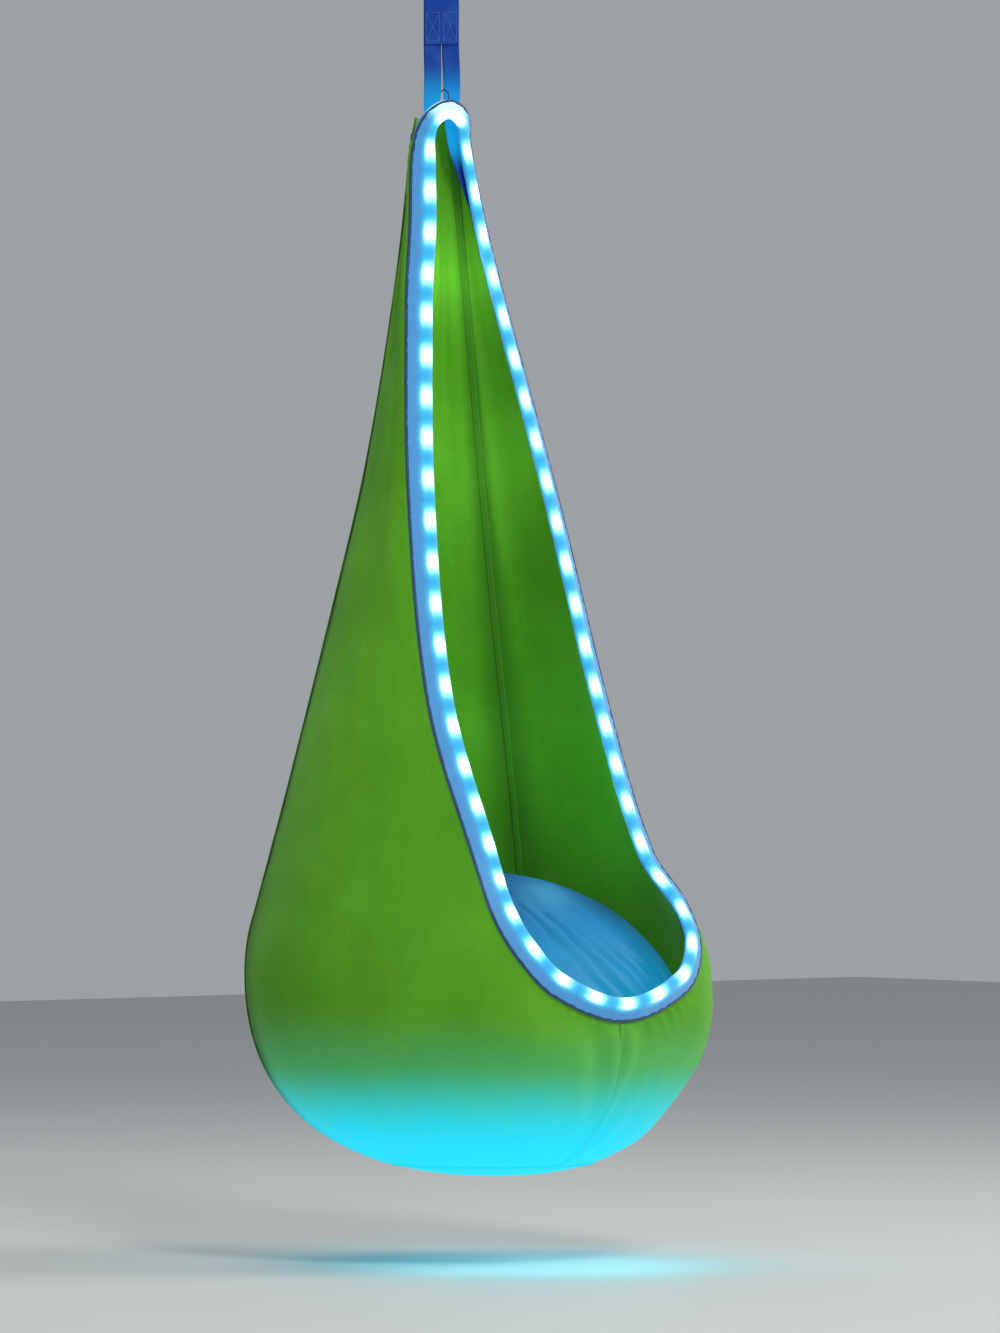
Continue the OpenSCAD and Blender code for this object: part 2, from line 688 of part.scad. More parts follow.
low_eye_d = 18;
low_eye_rim = 7;
low_eye_t = 10;
bow_drop = link_r - sqrt(pow(link_r, 2) - pow(low_eye_t / 2, 2)); // of the bow at the eye's faces
low_eye_z = link_high - link_wire / 2 - rest_gap - bow_drop + low_eye_d / 2;
low_eye_top = low_eye_z + low_eye_d / 2 + low_eye_rim;
housing_low = low_eye_top + 3;
eye_rim = 7;
housing_high = -eye_bore_d / 2 - eye_rim + 2;
plug_t = 5;
race_t = 2.6;
race_d = 27;
groove_r = ball_d / 2 + run_gap;
ball_track = (race_d + shaft_d) / 4 + 0.5;
bearing_low = housing_low + plug_t;
ball_z = bearing_low + race_t + ball_d / 2 - 0.9;
race_up_z = ball_z + ball_d / 2 - 0.9 + run_gap;
nut_z = race_up_z + race_t;
nut_h = 6;
shaft_top = nut_z + nut_h + 1;
cavity_top = shaft_top + 1.5;
cavity_d = race_d + 1;
ball_count = 12;

module swivel_housing() {
    color(steel) difference() {
        union() {
            translate([0, 0, housing_low]) cylinder(d = housing_d, h = housing_high - housing_low);
            rotate([90, 0, 0]) cylinder(d = eye_bore_d + 2 * eye_rim, h = eye_t, center = true);
            translate([-12, -eye_t / 2, housing_high - 1]) cube([24, eye_t, eye_rim + 6]);
        }
        rotate([90, 0, 0]) cylinder(d = eye_bore_d, h = 3 * eye_t, center = true);
        translate([0, 0, housing_low - 1]) cylinder(d = cavity_d, h = cavity_top - housing_low + 1);
    }
}
module bearing_plug() {
    color(dark) translate([0, 0, housing_low]) difference() {
        cylinder(d = cavity_d, h = plug_t);
        translate([0, 0, -1]) cylinder(d = shaft_d + 2 * run_gap, h = plug_t + 2);
        for (a = [0, 180]) rotate([0, 0, a]) translate([cavity_d / 2 - 3.2, 0, -1]) cylinder(d = 2.4, h = 3);
    }
}
module race(z, hole, groove_z) {
    color(steel) difference() {
        translate([0, 0, z]) cylinder(d = race_d, h = race_t);
        translate([0, 0, z - 1]) cylinder(d = hole, h = race_t + 2);
        translate([0, 0, groove_z]) rotate_extrude() translate([ball_track, 0]) circle(r = groove_r);
    }
}
module race_lower() { race(bearing_low, shaft_d + 2 * run_gap, ball_z); }
module race_upper() { race(race_up_z, shaft_d, ball_z); }
module bearing_balls() {
    color(steel) for (k = [0:ball_count - 1]) rotate([0, 0, 360 * k / ball_count])
        translate([ball_track, 0, ball_z]) sphere(d = ball_d);
}
module shaft_nut() {
    color(steel) translate([0, 0, nut_z]) difference() {
        cylinder(d = 22, h = nut_h, $fn = 6);
        translate([0, 0, -1]) cylinder(d = shaft_d, h = nut_h + 2);
    }
}
module dust_seal() {
    color(dark) translate([0, 0, low_eye_top + run_gap]) difference() {
        cylinder(d = 24, h = housing_low - low_eye_top - 2 * run_gap);
        translate([0, 0, -1]) cylinder(d = shaft_d, h = 6);
    }
}
module swivel_shaft_eye() {
    color(steel) {
        translate([0, 0, low_eye_top - 2]) cylinder(d = shaft_d, h = shaft_top - low_eye_top + 2);
        hung() difference() {
            union() {
                translate([0, 0, low_eye_z]) rotate([90, 0, 0])
                    cylinder(d = low_eye_d + 2 * low_eye_rim, h = low_eye_t, center = true);
                translate([0, 0, low_eye_top - 4]) cylinder(d = 20, h = 4);
            }
            translate([0, 0, low_eye_z]) rotate([90, 0, 0]) cylinder(d = low_eye_d, h = 3 * low_eye_t, center = true);
        }
    }
}

// ---- base light, lens down on the base panel ----

lamp_r = lamp_d / 2;
function bowl_rise(r) = bowl_h * (1 - pow(1 - pow(r / pod_r, bowl_power), 1 / bowl_power));
lamp_z = pod_z + bowl_rise(lamp_r) + fabric_t / 2 + 0.5;
lamp_y = -lean(4);
lens_t = 3;
gasket_t = 1.2;
shell_z = lens_t + gasket_t;
screw_track = lamp_r - lamp_wall - 5;
lamp_screw_d = 3;
screw_head_d = 5.6;
screw_head_t = 1.6;
board_t = 1.6;
board_z = shell_z + 7;

module at_lamp() { translate([0, lamp_y, lamp_z]) children(); }
module lamp_shell() {
    color(dark) at_lamp() difference() {
        union() {
            difference() {
                translate([0, 0, shell_z]) cylinder(r = lamp_r, h = lamp_h - shell_z);
                translate([0, 0, shell_z - 1]) cylinder(r = lamp_r - lamp_wall, h = lamp_h - shell_z - lamp_wall + 1);
            }
            for (a = [60, 180, 300]) rotate([0, 0, a]) translate([screw_track, 0, shell_z])
                cylinder(d = 8, h = lamp_h - shell_z - 1);
        }
        for (a = [60, 180, 300]) rotate([0, 0, a]) translate([screw_track, 0, shell_z - 1])
            cylinder(d = lamp_screw_d, h = 10);
        translate([0, 0, shell_z + 4.5]) rotate([90, 0, 0])
            cylinder(d = lead_d + 0.4, h = 2 * lamp_r + 2, center = true);
    }
}
module lamp_lens() {
    color(cyan) at_lamp() difference() {
        cylinder(r = lamp_r, h = lens_t);
        for (a = [60, 180, 300]) rotate([0, 0, a]) translate([screw_track, 0, -1]) {
            cylinder(d = lamp_screw_d + 0.4, h = lens_t + 2);
            cylinder(d = screw_head_d + 0.8, h = 1 + screw_head_t);
        }
    }
}
module lamp_gasket() {
    color("black") at_lamp() translate([0, 0, lens_t]) difference() {
        cylinder(r = lamp_r - 0.5, h = gasket_t);
        translate([0, 0, -1]) cylinder(r = lamp_r - lamp_wall, h = gasket_t + 2);
    }
}
board_r = screw_track - 5;
module lamp_board() {
    color("white") at_lamp() {
        translate([0, 0, board_z]) cylinder(r = board_r, h = board_t);
        for (a = [0, 120, 240]) rotate([0, 0, a]) translate([board_r - 6, 0, board_z + board_t])
            cylinder(d = 4, h = lamp_h - lamp_wall - board_z - board_t);
    }
}
module lamp_lights() {
    color("white") at_lamp() for (k = [0:lamp_leds - 1]) rotate([0, 0, 360 * (k + 0.5) / lamp_leds])
        translate([board_r - 8, 0, board_z - 0.8]) cube([5, 5, 1.6], center = true);
}
module lamp_screws() {
    color(steel) at_lamp() for (a = [60, 180, 300]) rotate([0, 0, a]) translate([screw_track, 0, 0]) {
        cylinder(d = screw_head_d, h = screw_head_t);
        cylinder(d = lamp_screw_d - 0.1, h = shell_z + 7);
    }
}

// ---- air cushion, resting on the base light ----

cushion_y = -lean(cushion_mid_h);
cushion_low = lamp_z + lamp_h + rest_gap - pod_z;
cushion_steps = 14;
cushion_corner = 28; // how far the cushion's lower edge is rounded in
cushion_corner_h = 70;
function cushion_fit(h) =
    half_width(outline_at(h)) - abs(lean(h) - lean(cushion_mid_h)) - back_t / 2 - cushion_gap
    - cushion_corner * (1 - smooth01((h - cushion_low) / cushion_corner_h));
cushion_r = cushion_fit(cushion_mid_h);
valve_r = valve_d / 2;
// Outline of the cushion, drawn inwards by t: lower half from the bowl, upper half an ellipse
function cushion_outline(t) =
    let (low = cushion_low + t, drop = cushion_mid_h - low)
    [
        [0, low], [cushion_fit(low) - 1.15 * t, low],
        for (k = [1:cushion_steps]) let (h = low + drop * pow(k / cushion_steps, 1.5)) [cushion_fit(h) - 1.15 * t, h],
        for (k = [1:cushion_steps])
            let (a = 90 * k / cushion_steps)
            [(cushion_r - 1.15 * t) * cos(a), cushion_mid_h + (cushion_rise - t) * sin(a)]
    ];
crown_z = cushion_mid_h + cushion_rise * sqrt(1 - pow(valve_r / cushion_r, 2));
module at_cushion() { translate([0, cushion_y, pod_z]) children(); }
module cushion_skin() {
    color(cyan) at_cushion() rotate_extrude($fn = 96) difference() {
        polygon(cushion_outline(0));
        polygon(cushion_outline(skin_t));
        translate([-1, cushion_mid_h]) square([valve_r + 1, 2 * cushion_rise]);
    }
}
valve_top = crown_z + 1.2;
module valve_body() {
    color(cyan) at_cushion() {
        translate([0, 0, crown_z - 16]) difference() {
            cylinder(r = valve_r - 0.1, h = 16 + 1.2);
            translate([0, 0, 2]) cylinder(d = valve_d - 12, h = 20);
            translate([0, 0, -1]) cylinder(d = 8, h = 4);
        }
    }
}
valve_hinge = [0, valve_r - 2, valve_top + 1.6];
module valve_cap() {
    color(blue) at_cushion() translate([0, 0, valve_top + rest_gap]) {
        cylinder(d = valve_d - 4, h = 2.4);
        translate([0, 0, -3.5]) cylinder(d = valve_d - 14, h = 4);
        translate([-4, 0, 0.6]) cube([8, valve_r - 1, 1.6]);
    }
}

// ---- battery case in a pocket on the back panel, above the cushion ----

case_size = [case_w, case_depth, case_h];
pocket_h = 470;
pocket_m = outline_at(pocket_h);
pocket_normal = wall_normal(180, pocket_m);
pocket_tilt = atan2(pocket_normal[2], pocket_normal[1]);
pocket_cloth = 1.4;
case_room = 0.6;
pocket_w = case_size[0] + 2 * case_room + 2 * pocket_cloth;
pocket_back = back_t / 2 + pow(pocket_w / 2, 2) / (2 * half_width(pocket_m)) + 1.6;
pocket_depth = case_size[1] + 2 * case_room + 2 * pocket_cloth;
case_back = pocket_back + pocket_cloth + case_room;
module at_pocket() { translate(wall(180, pocket_m)) rotate([pocket_tilt, 0, 0]) children(); }
module battery_pocket() {
    top = case_size[2] - 10;
    color(green) at_pocket() difference() {
        translate([-pocket_w / 2, -pocket_back - pocket_depth, -pocket_cloth - case_room])
            cube([pocket_w, pocket_depth, top]);
        translate([-pocket_w / 2 + pocket_cloth, -pocket_back - pocket_depth + pocket_cloth, -case_room])
            cube([pocket_w - 2 * pocket_cloth, pocket_depth - 2 * pocket_cloth, 2 * top]);
        translate([0, -case_back - case_size[1] / 2, -10]) cylinder(d = lead_d + 2, h = 20);
    }
}
cover_t = case_wall;
boss_d = 6;
boss_x = case_size[0] / 2 - case_wall - boss_d / 2 + 0.5;
boss_low = case_wall + boss_d / 2 - 0.5;
boss_z = [boss_low, case_size[2] - boss_low];
button_x = case_size[0] / 2 - 22;
// The case's local frame: its back at y = 0, its bottom at z = 0
module at_case() { at_pocket() translate([0, -case_back, 0]) children(); }
module case_bosses(d, y, len) {
    for (x = [-boss_x, boss_x], z = boss_z) translate([x, y, z]) rotate([90, 0, 0]) cylinder(d = d, h = len);
}
module battery_case() {
    w = case_size[0];
    d = case_size[1] - cover_t;
    h = case_size[2];
    color(dark) at_case() difference() {
        union() {
            difference() {
                translate([-w / 2, -d, 0]) cube([w, d, h]);
                translate([-w / 2 + case_wall, -d - 1, case_wall]) cube([w - 2 * case_wall, d + 1 - case_wall, h - 2 * case_wall]);
            }
            case_bosses(boss_d, -case_wall + 0.5, d - case_wall - 0.5);
        }
        case_bosses(2.2, -case_wall - 2, d);
        translate([button_x, -d / 2, h - case_wall - 1]) cylinder(d = button_d + 2 * run_gap, h = case_wall + 2);
        translate([0, -case_size[1] / 2, -1]) cylinder(d = lead_d + 0.4, h = case_wall + 2);
        translate([0, -case_size[1] / 2, h - case_wall - 1]) cylinder(d = thin_lead_d + 0.4, h = case_wall + 2);
    }
}
module case_cover() {
    color(dark) at_case() difference() {
        translate([-case_size[0] / 2, -case_size[1], 0]) cube([case_size[0], cover_t, case_size[2]]);
        case_bosses(2.8, 1, case_size[1] + 2);
    }
}
module cover_screws() {
    color(steel) at_case() translate([0, 0, 0]) {
        case_bosses(2.2, -case_size[1] + 9, 9);
        case_bosses(4, -case_size[1], 0.6);
    }
}
cell_x = -case_size[0] / 2 + case_wall + 1.5 + cell_d / 2;
cell_y = -case_wall - cell_d / 2 - 0.3;
cell_z = (case_size[2] - cell_l) / 2;
module cells() {
    color([0.8, 0.5, 0.15]) at_case() for (k = [0:2]) translate([cell_x + (cell_d + 0.4) * k, cell_y, cell_z])
        difference() {
            union() {
                cylinder(d = cell_d, h = cell_l - 1.5);
                cylinder(d = 9, h = cell_l);
            }
            translate([0, 0, -1]) cylinder(d = 4, h = 1.2);
        }
}
module cell_contacts() {
    color(steel) at_case() for (k = [0:2]) translate([cell_x + (cell_d + 0.4) * k, cell_y, 0]) {
        translate([-4, -4, cell_z + cell_l + 0.1]) cube([8, 8, 0.6]);
        translate([-4, -4, cell_z - 5.7]) cube([8, 8, 0.6]);
        translate([0, 0, cell_z - 5.2]) cylinder(d1 = 7, d2 = 3, h = 5.1);
    }
}
board_x = button_x;
module control_board() {
    color([0.1, 0.4, 0.2]) at_case() {
        translate([board_x - 13, -case_wall - 3.2, 10]) cube([26, 1.6, case_size[2] - 20]);
        translate([board_x - 13, -case_wall - 1.6, 12]) cube([26, 1.6, 4]);
        translate([board_x - 7, -case_wall - 8, 20]) cube([10, 5, 14]);
    }
    // switch under the push button
    color(dark) at_case() translate([button_x - 4, -case_wall - 12, case_size[2] - 20]) cube([8, 9.5, 6]);
}
button_y = -(case_size[1] - cover_t) / 2;
module push_button() {
    color(blue) at_case() translate([button_x, button_y, case_size[2] - case_wall - 3]) {
        cylinder(d = button_d, h = case_wall + 3 + button_travel + 1);
        cylinder(d = button_d + 3, h = 2.6);
    }
}
module button_spring() {
    low = case_size[2] - 14 + 0.4;
    high = case_size[2] - case_wall - 3 - button_travel - run_gap;
    color(steel) at_case() translate([button_x, button_y, low])
        rotate_extrude() for (k = [0:5]) translate([3, 0.65 + k * (high - low - 1.3) / 5]) circle(d = 1.3);
}

// ---- leads, held against the inside of the wall ----

lead_rest = 1.8; // gap between a lead and the wall
lead_sides = 8;
// Stretch along the middle of the back, from one distance up the outline to another
function lead_run(from, to, steps, d) = [
    for (k = [0:steps])
        let (m = from + (to - from) * k / steps)
        wall(180, m) - wall_normal(180, m) * (back_t / 2 + d / 2 + lead_rest)
];
module lead(points, d) {
    n = len(points) - 1;
    color(dark) sweep_rings([
        for (i = [0:n])
            let (
                t = unit(points[min(n, i + 1)] - points[max(0, i - 1)]),
                side = [1, 0, 0],
                up = cross(t, side)
            )
            [for (k = [0:lead_sides - 1]) points[i] + (up * cos(45 * k) + side * sin(45 * k)) * d / 2]
    ]);
}
function case_point(z) =
    let (y = -case_back - case_size[1] / 2)
    wall(180, pocket_m) + [0, y * cos(pocket_tilt) - z * sin(pocket_tilt), y * sin(pocket_tilt) + z * cos(pocket_tilt)];

lamp_port_z = lamp_z + shell_z + 4.5;
port_reach = 4; // of a lead into the base light
module lamp_lead() {
    back = lamp_y + lamp_r;
    lead(
        concat(
            [case_point(case_wall + 4), case_point(-10), case_point(-20)],
            lead_run(pocket_m - 50, outline_at(level(-bowl_arc + 100)), 16, lead_d),
            [[0, back + 12, lamp_port_z], [0, back - port_reach, lamp_port_z]]
        ),
        lead_d
    );
}
// The rim light's lead leaves the plug upwards, bends over between the two legs and runs down the back
lead_arch = [[0, 14], [2, 22], [10, 28], [20, 24], [26, 10], [30, -8], [35, -30], [41, -60]];
module rim_lead() {
    top = tube_place(0, 0, 0) + [0, 0, roll_r];
    lead(
        concat(
            [top, for (p = lead_arch) top + [0, p[0], p[1]]],
            lead_run(m_top - 60, pocket_m + case_size[2] + 60, 14, thin_lead_d),
            [case_point(case_size[2] + 20), case_point(case_size[2] + 8), case_point(case_size[2] - case_wall - 4)]
        ),
        thin_lead_d
    );
}

swivel_housing();
bearing_plug();
race_lower();
bearing_balls();
race_upper();
shaft_nut();
dust_seal();
swivel_shaft_eye();
carabiner_body();
carabiner_gate();
gate_pin();
gate_spring();
lock_sleeve();
d_ring();
hanging_strap();
edge_webbing_left();
edge_webbing_right();
left_panel();
right_panel();
back_panel();
base_panel();
light_sleeve();
light_tube();
led_ribbon();
led_chips();
tube_joint();
cushion_skin();
valve_body();
valve_cap();
lamp_shell();
lamp_lens();
lamp_gasket();
lamp_board();
lamp_lights();
lamp_screws();
battery_pocket();
battery_case();
case_cover();
cover_screws();
cells();
cell_contacts();
control_board();
push_button();
button_spring();
lamp_lead();
rim_lead();
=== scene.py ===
# %% [markdown]
# # A child's lit pod swing
#
# The swing is a green cloth pod that hangs from one strap. Its opening is edged with a padded
# sleeve that holds a string of lights, an air cushion lies inside, and a flat light under the
# cushion makes the bottom glow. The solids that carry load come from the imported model. This file
# gives them their finish and makes the soft pieces again with their real detail.

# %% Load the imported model
import bpy, bmesh, math
from mathutils import Vector, Matrix, noise


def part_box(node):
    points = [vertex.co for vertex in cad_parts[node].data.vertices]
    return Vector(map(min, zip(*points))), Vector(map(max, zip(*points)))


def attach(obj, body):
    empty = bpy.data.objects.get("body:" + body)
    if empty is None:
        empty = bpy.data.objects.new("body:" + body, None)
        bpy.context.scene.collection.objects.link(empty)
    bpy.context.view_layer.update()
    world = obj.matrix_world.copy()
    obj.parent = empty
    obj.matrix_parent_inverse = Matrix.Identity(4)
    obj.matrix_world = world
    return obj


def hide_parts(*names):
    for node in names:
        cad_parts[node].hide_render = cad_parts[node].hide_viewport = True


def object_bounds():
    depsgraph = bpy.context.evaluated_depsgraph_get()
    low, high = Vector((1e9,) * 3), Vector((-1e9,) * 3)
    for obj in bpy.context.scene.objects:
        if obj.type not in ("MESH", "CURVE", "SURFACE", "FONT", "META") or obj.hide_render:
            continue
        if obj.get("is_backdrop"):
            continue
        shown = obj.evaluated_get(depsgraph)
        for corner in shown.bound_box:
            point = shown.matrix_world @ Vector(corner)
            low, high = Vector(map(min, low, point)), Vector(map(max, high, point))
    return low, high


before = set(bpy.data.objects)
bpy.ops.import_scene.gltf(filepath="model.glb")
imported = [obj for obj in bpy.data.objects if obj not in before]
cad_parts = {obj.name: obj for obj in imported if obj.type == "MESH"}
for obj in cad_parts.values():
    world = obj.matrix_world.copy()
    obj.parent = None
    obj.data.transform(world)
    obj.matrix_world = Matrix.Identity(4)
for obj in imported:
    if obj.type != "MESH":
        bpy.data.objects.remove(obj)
cad_box = [list(corner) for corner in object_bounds()]
MM = 0.001
print("nodes", len(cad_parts), "box", cad_box)

# %% [markdown]
# ## Small maths
#
# The outline is drawn by smooth curves through a few points, so the same handful of functions
# gives a point on the wall, on the rim or on a strap.

# %% Smooth curves through points
def clamp(x, low=0.0, high=1.0):
    return max(low, min(high, x))

def ease(x):
    x = clamp(x)
    return x * x * (3 - 2 * x)

def mix(a, b, share):
    return a * (1 - share) + b * share

def curve(keys, x, first=None, last=None):
    """Value at x of the smooth curve through keys (x, value)."""
    i = 0
    while i < len(keys) - 2 and x >= keys[i + 1][0]:
        i += 1
    def slope(k):
        if k == 0 and first is not None:
            return first
        if k == len(keys) - 1 and last is not None:
            return last
        a, b = keys[max(0, k - 1)], keys[min(len(keys) - 1, k + 1)]
        return (b[1] - a[1]) / (b[0] - a[0])
    a, b = keys[i], keys[i + 1]
    d = b[0] - a[0]
    t = (x - a[0]) / d
    return (a[1] * (1 + t * t * (2 * t - 3)) + slope(i) * (d * t * (1 - t) ** 2)
            + b[1] * (t * t * (3 - 2 * t)) - slope(i + 1) * (d * t * t * (1 - t)))

def ripple(x, y=0.0, seed=0.0):
    """Soft random value from -1 to 1, the same on every run."""
    return noise.noise(Vector((x, y, seed)))

# %% The wall of the pod
POD_R, POD_H, BOWL_H, POD_TOP = 340.0, 1556.0, 286.0, -444.0
POD_Z = POD_TOP - POD_H
SIDE_H = POD_H - BOWL_H
POWER, BOWL_ARC = 2.35, 1.47 * POD_R
SIDE_KEYS = [(0, 1), (0.05, 0.983), (0.1, 0.931), (0.25, 0.77), (0.45, 0.559), (0.6, 0.412),
             (0.8, 0.26), (1, 0.135)]
LEAN_KEYS = [(0, 0.359), (0.02, 0.33), (0.05, 0.288), (0.11, 0.253), (0.2, 0.22), (0.36, 0.193),
             (0.55, 0.147), (0.74, 0.106), (0.9, 0.059), (1, 0.015)]

def lean(h):
    return curve(LEAN_KEYS, clamp(h / POD_H)) * POD_R

def level(m):
    if m >= 0:
        return BOWL_H + m
    return BOWL_H * (1 - math.sin(math.radians(min(90, -90 * m / BOWL_ARC))) ** (2 / POWER))

def half_width(m):
    if m >= 0:
        return curve(SIDE_KEYS, m / SIDE_H, first=0) * POD_R
    return POD_R * max(0.0, math.cos(math.radians(min(90, -90 * m / BOWL_ARC)))) ** (2 / POWER)

def outline_at(h):
    if h >= BOWL_H:
        return h - BOWL_H
    return -BOWL_ARC * math.degrees(math.asin(clamp(1 - h / BOWL_H) ** (POWER / 2))) / 90

def wall(angle, m, pull=1.0):
    """Point of the wall: degrees from the front, distance up the outline, pull of the rim."""
    h, r = level(m), half_width(m) * pull
    a = math.radians(angle)
    return Vector((r * math.sin(a), -lean(h) - r * math.cos(a), POD_Z + h))

def wall_normal(angle, m):
    m = max(m, 3 - BOWL_ARC)
    down = wall(angle, m - 1) - wall(angle, m + 1)
    return down.cross(wall(angle + 1, m) - wall(angle - 1, m)).normalized()

BASE_R = 150.0
SEAM = 126.0  # degrees from the front to a side seam
M_TOP = SIDE_H
M_BASE = outline_at(BOWL_H * (1 - (1 - (BASE_R / POD_R) ** POWER) ** (1 / POWER)))
print("wall from", round(M_BASE), "to", round(M_TOP), "mm along its outline")

# %% The rim of the opening
RIM_SHAPE = [(0, 0.053, 1.0232), (0.088, 0.044, 1.0135), (0.118, 0.024, 0.9936), (0.17, 0.075, 0.91),
             (0.235, 0.129, 0.8355), (0.3765, 0.3147, 0.646), (0.459, 0.544, 0.453), (0.462, 0.847, 0.3085),
             (0.512, 1.029, 0.257), (0.482, 1.141, 0.2217), (0.353, 1.212, 0.1877), (0, 1.235, 0.1632)]
RIM_KEYS = []
for across, forward, up in RIM_SHAPE:
    point = Vector((across * POD_R, -forward * POD_R, POD_Z + up * POD_H))
    RIM_KEYS.append((RIM_KEYS[-1][0] + (point - RIM_KEYS[-1][1]).length if RIM_KEYS else 0.0, point))
RIM_HALF = RIM_KEYS[-1][0]
TURN_KEYS = [(0, 0), (0.05, 34), (0.12, 36), (0.5, 25), (0.75, 20), (0.85, 18), (0.95, 6), (1, 0)]
WIDTH_KEYS = [(0, 0.68), (0.03, 0.72), (0.07, 0.93), (0.15, 1), (0.7, 1), (0.9, 0.92), (1, 0.88)]
RIM_STEPS, SLEEVE_W, SLEEVE_T = 44, 42.0, 17.0

def flip(v):
    return Vector((-v.x, v.y, v.z))

def rim_at(s):
    if s > RIM_HALF:
        return flip(rim_at(2 * RIM_HALF - s))
    return curve(RIM_KEYS, s, first=Vector((1, 0, 0)), last=Vector((-1, 0, 0)))

def rim_share(s):
    return (s if s <= RIM_HALF else 2 * RIM_HALF - s) / RIM_HALF

def rim_width(s):
    return SLEEVE_W * curve(WIDTH_KEYS, rim_share(s))

def rim_along(s):
    if s > RIM_HALF:
        a = rim_along(2 * RIM_HALF - s)
        return Vector((a.x, -a.y, -a.z))
    return (rim_at(min(RIM_HALF, s + 1)) - rim_at(max(0, s - 1))).normalized()

def rim_face(s):
    q, side = rim_share(s), 1 if s <= RIM_HALF else -1
    a = math.radians(curve(TURN_KEYS, q))
    aim = Vector((side * math.sin(a), -math.cos(a), -0.27 * ease((q - 0.85) / 0.15)))
    t = rim_along(s)
    return (aim - t * aim.dot(t)).normalized()

def rim_place(s, b, n):
    return rim_at(s) + rim_along(s).cross(rim_face(s)) * b + rim_face(s) * n

def rim_station(i):
    q = i / RIM_STEPS
    return RIM_HALF * (q - 0.74 / (2 * math.pi) * math.sin(2 * math.pi * q))

print("rim", round(2 * RIM_HALF), "mm round")

# %% [markdown]
# ## Sheets made from a grid
#
# Cloth is cut flat and then hung, so each sheet starts as a flat grid. Every point is moved to its
# place on the pod, and the flat place is kept as the UV map in metres, so that a weave follows the
# cloth. Solidify gives the cloth its thickness.

# %% Make a sheet, finish a piece
def keep(name, bm, material):
    mesh = bpy.data.meshes.new(name)
    bm.to_mesh(mesh)
    bm.free()
    piece = bpy.data.objects.new(name, mesh)
    bpy.context.scene.collection.objects.link(piece)
    for face in mesh.polygons:
        face.use_smooth = True
    mesh.materials.append(material)
    return piece

def sheet_mesh(name, place, columns, rows, flat, material, close=False):
    """place(u, v) gives a point in millimetres; flat is the sheet's cut size in metres."""
    bm = bmesh.new()
    bmesh.ops.create_grid(bm, x_segments=columns, y_segments=rows, size=0.5)
    layer = bm.loops.layers.uv.new("cut")
    for face in bm.faces:
        for loop in face.loops:
            loop[layer].uv = ((loop.vert.co.x + 0.5) * flat[0], (loop.vert.co.y + 0.5) * flat[1])
    for vert in bm.verts:
        vert.co = place(vert.co.x + 0.5, vert.co.y + 0.5) * MM
    if close:
        bmesh.ops.remove_doubles(bm, verts=bm.verts[:], dist=0.0002)
    return keep(name, bm, material)

def thicken(piece, thickness):
    solid = piece.modifiers.new("thickness", "SOLIDIFY")
    solid.thickness = thickness * MM
    solid.offset = 0.0
    solid.use_even_offset = False

def bake(piece):
    """Apply a piece's modifiers."""
    graph = bpy.context.evaluated_depsgraph_get()
    mesh = bpy.data.meshes.new_from_object(piece.evaluated_get(graph))
    piece.modifiers.clear()
    piece.data = mesh

# %% [markdown]
# ## Finishes
#
# A finish is a node graph. The class below lets it be written as sums on masks, which read like
# the material's recipe instead of a list of links.

# %% Write shader maths as expressions
class Value:
    """One output of a node; arithmetic on it adds Math nodes."""
    def __init__(self, graph, socket):
        self.graph, self.socket = graph, socket
    def _op(self, operation, a, b=None):
        sockets = {0: a} if b is None else {0: a, 1: b}
        return self.graph.node("ShaderNodeMath", sockets, operation=operation)
    def __add__(self, other): return self._op("ADD", self, other)
    def __radd__(self, other): return self._op("ADD", other, self)
    def __sub__(self, other): return self._op("SUBTRACT", self, other)
    def __rsub__(self, other): return self._op("SUBTRACT", other, self)
    def __mul__(self, other): return self._op("MULTIPLY", self, other)
    def __rmul__(self, other): return self._op("MULTIPLY", other, self)
    def __truediv__(self, other): return self._op("DIVIDE", self, other)
    def __pow__(self, other): return self._op("POWER", self, other)
    def sin(self): return self._op("SINE", self)
    def abs(self): return self._op("ABSOLUTE", self)
    def fract(self): return self._op("FRACT", self)
    def above(self, edge, soft):
        """0 below edge - soft, 1 above edge + soft."""
        return self.graph.node("ShaderNodeMapRange", {0: self, 1: edge - soft, 2: edge + soft},
                               interpolation_type="SMOOTHSTEP")

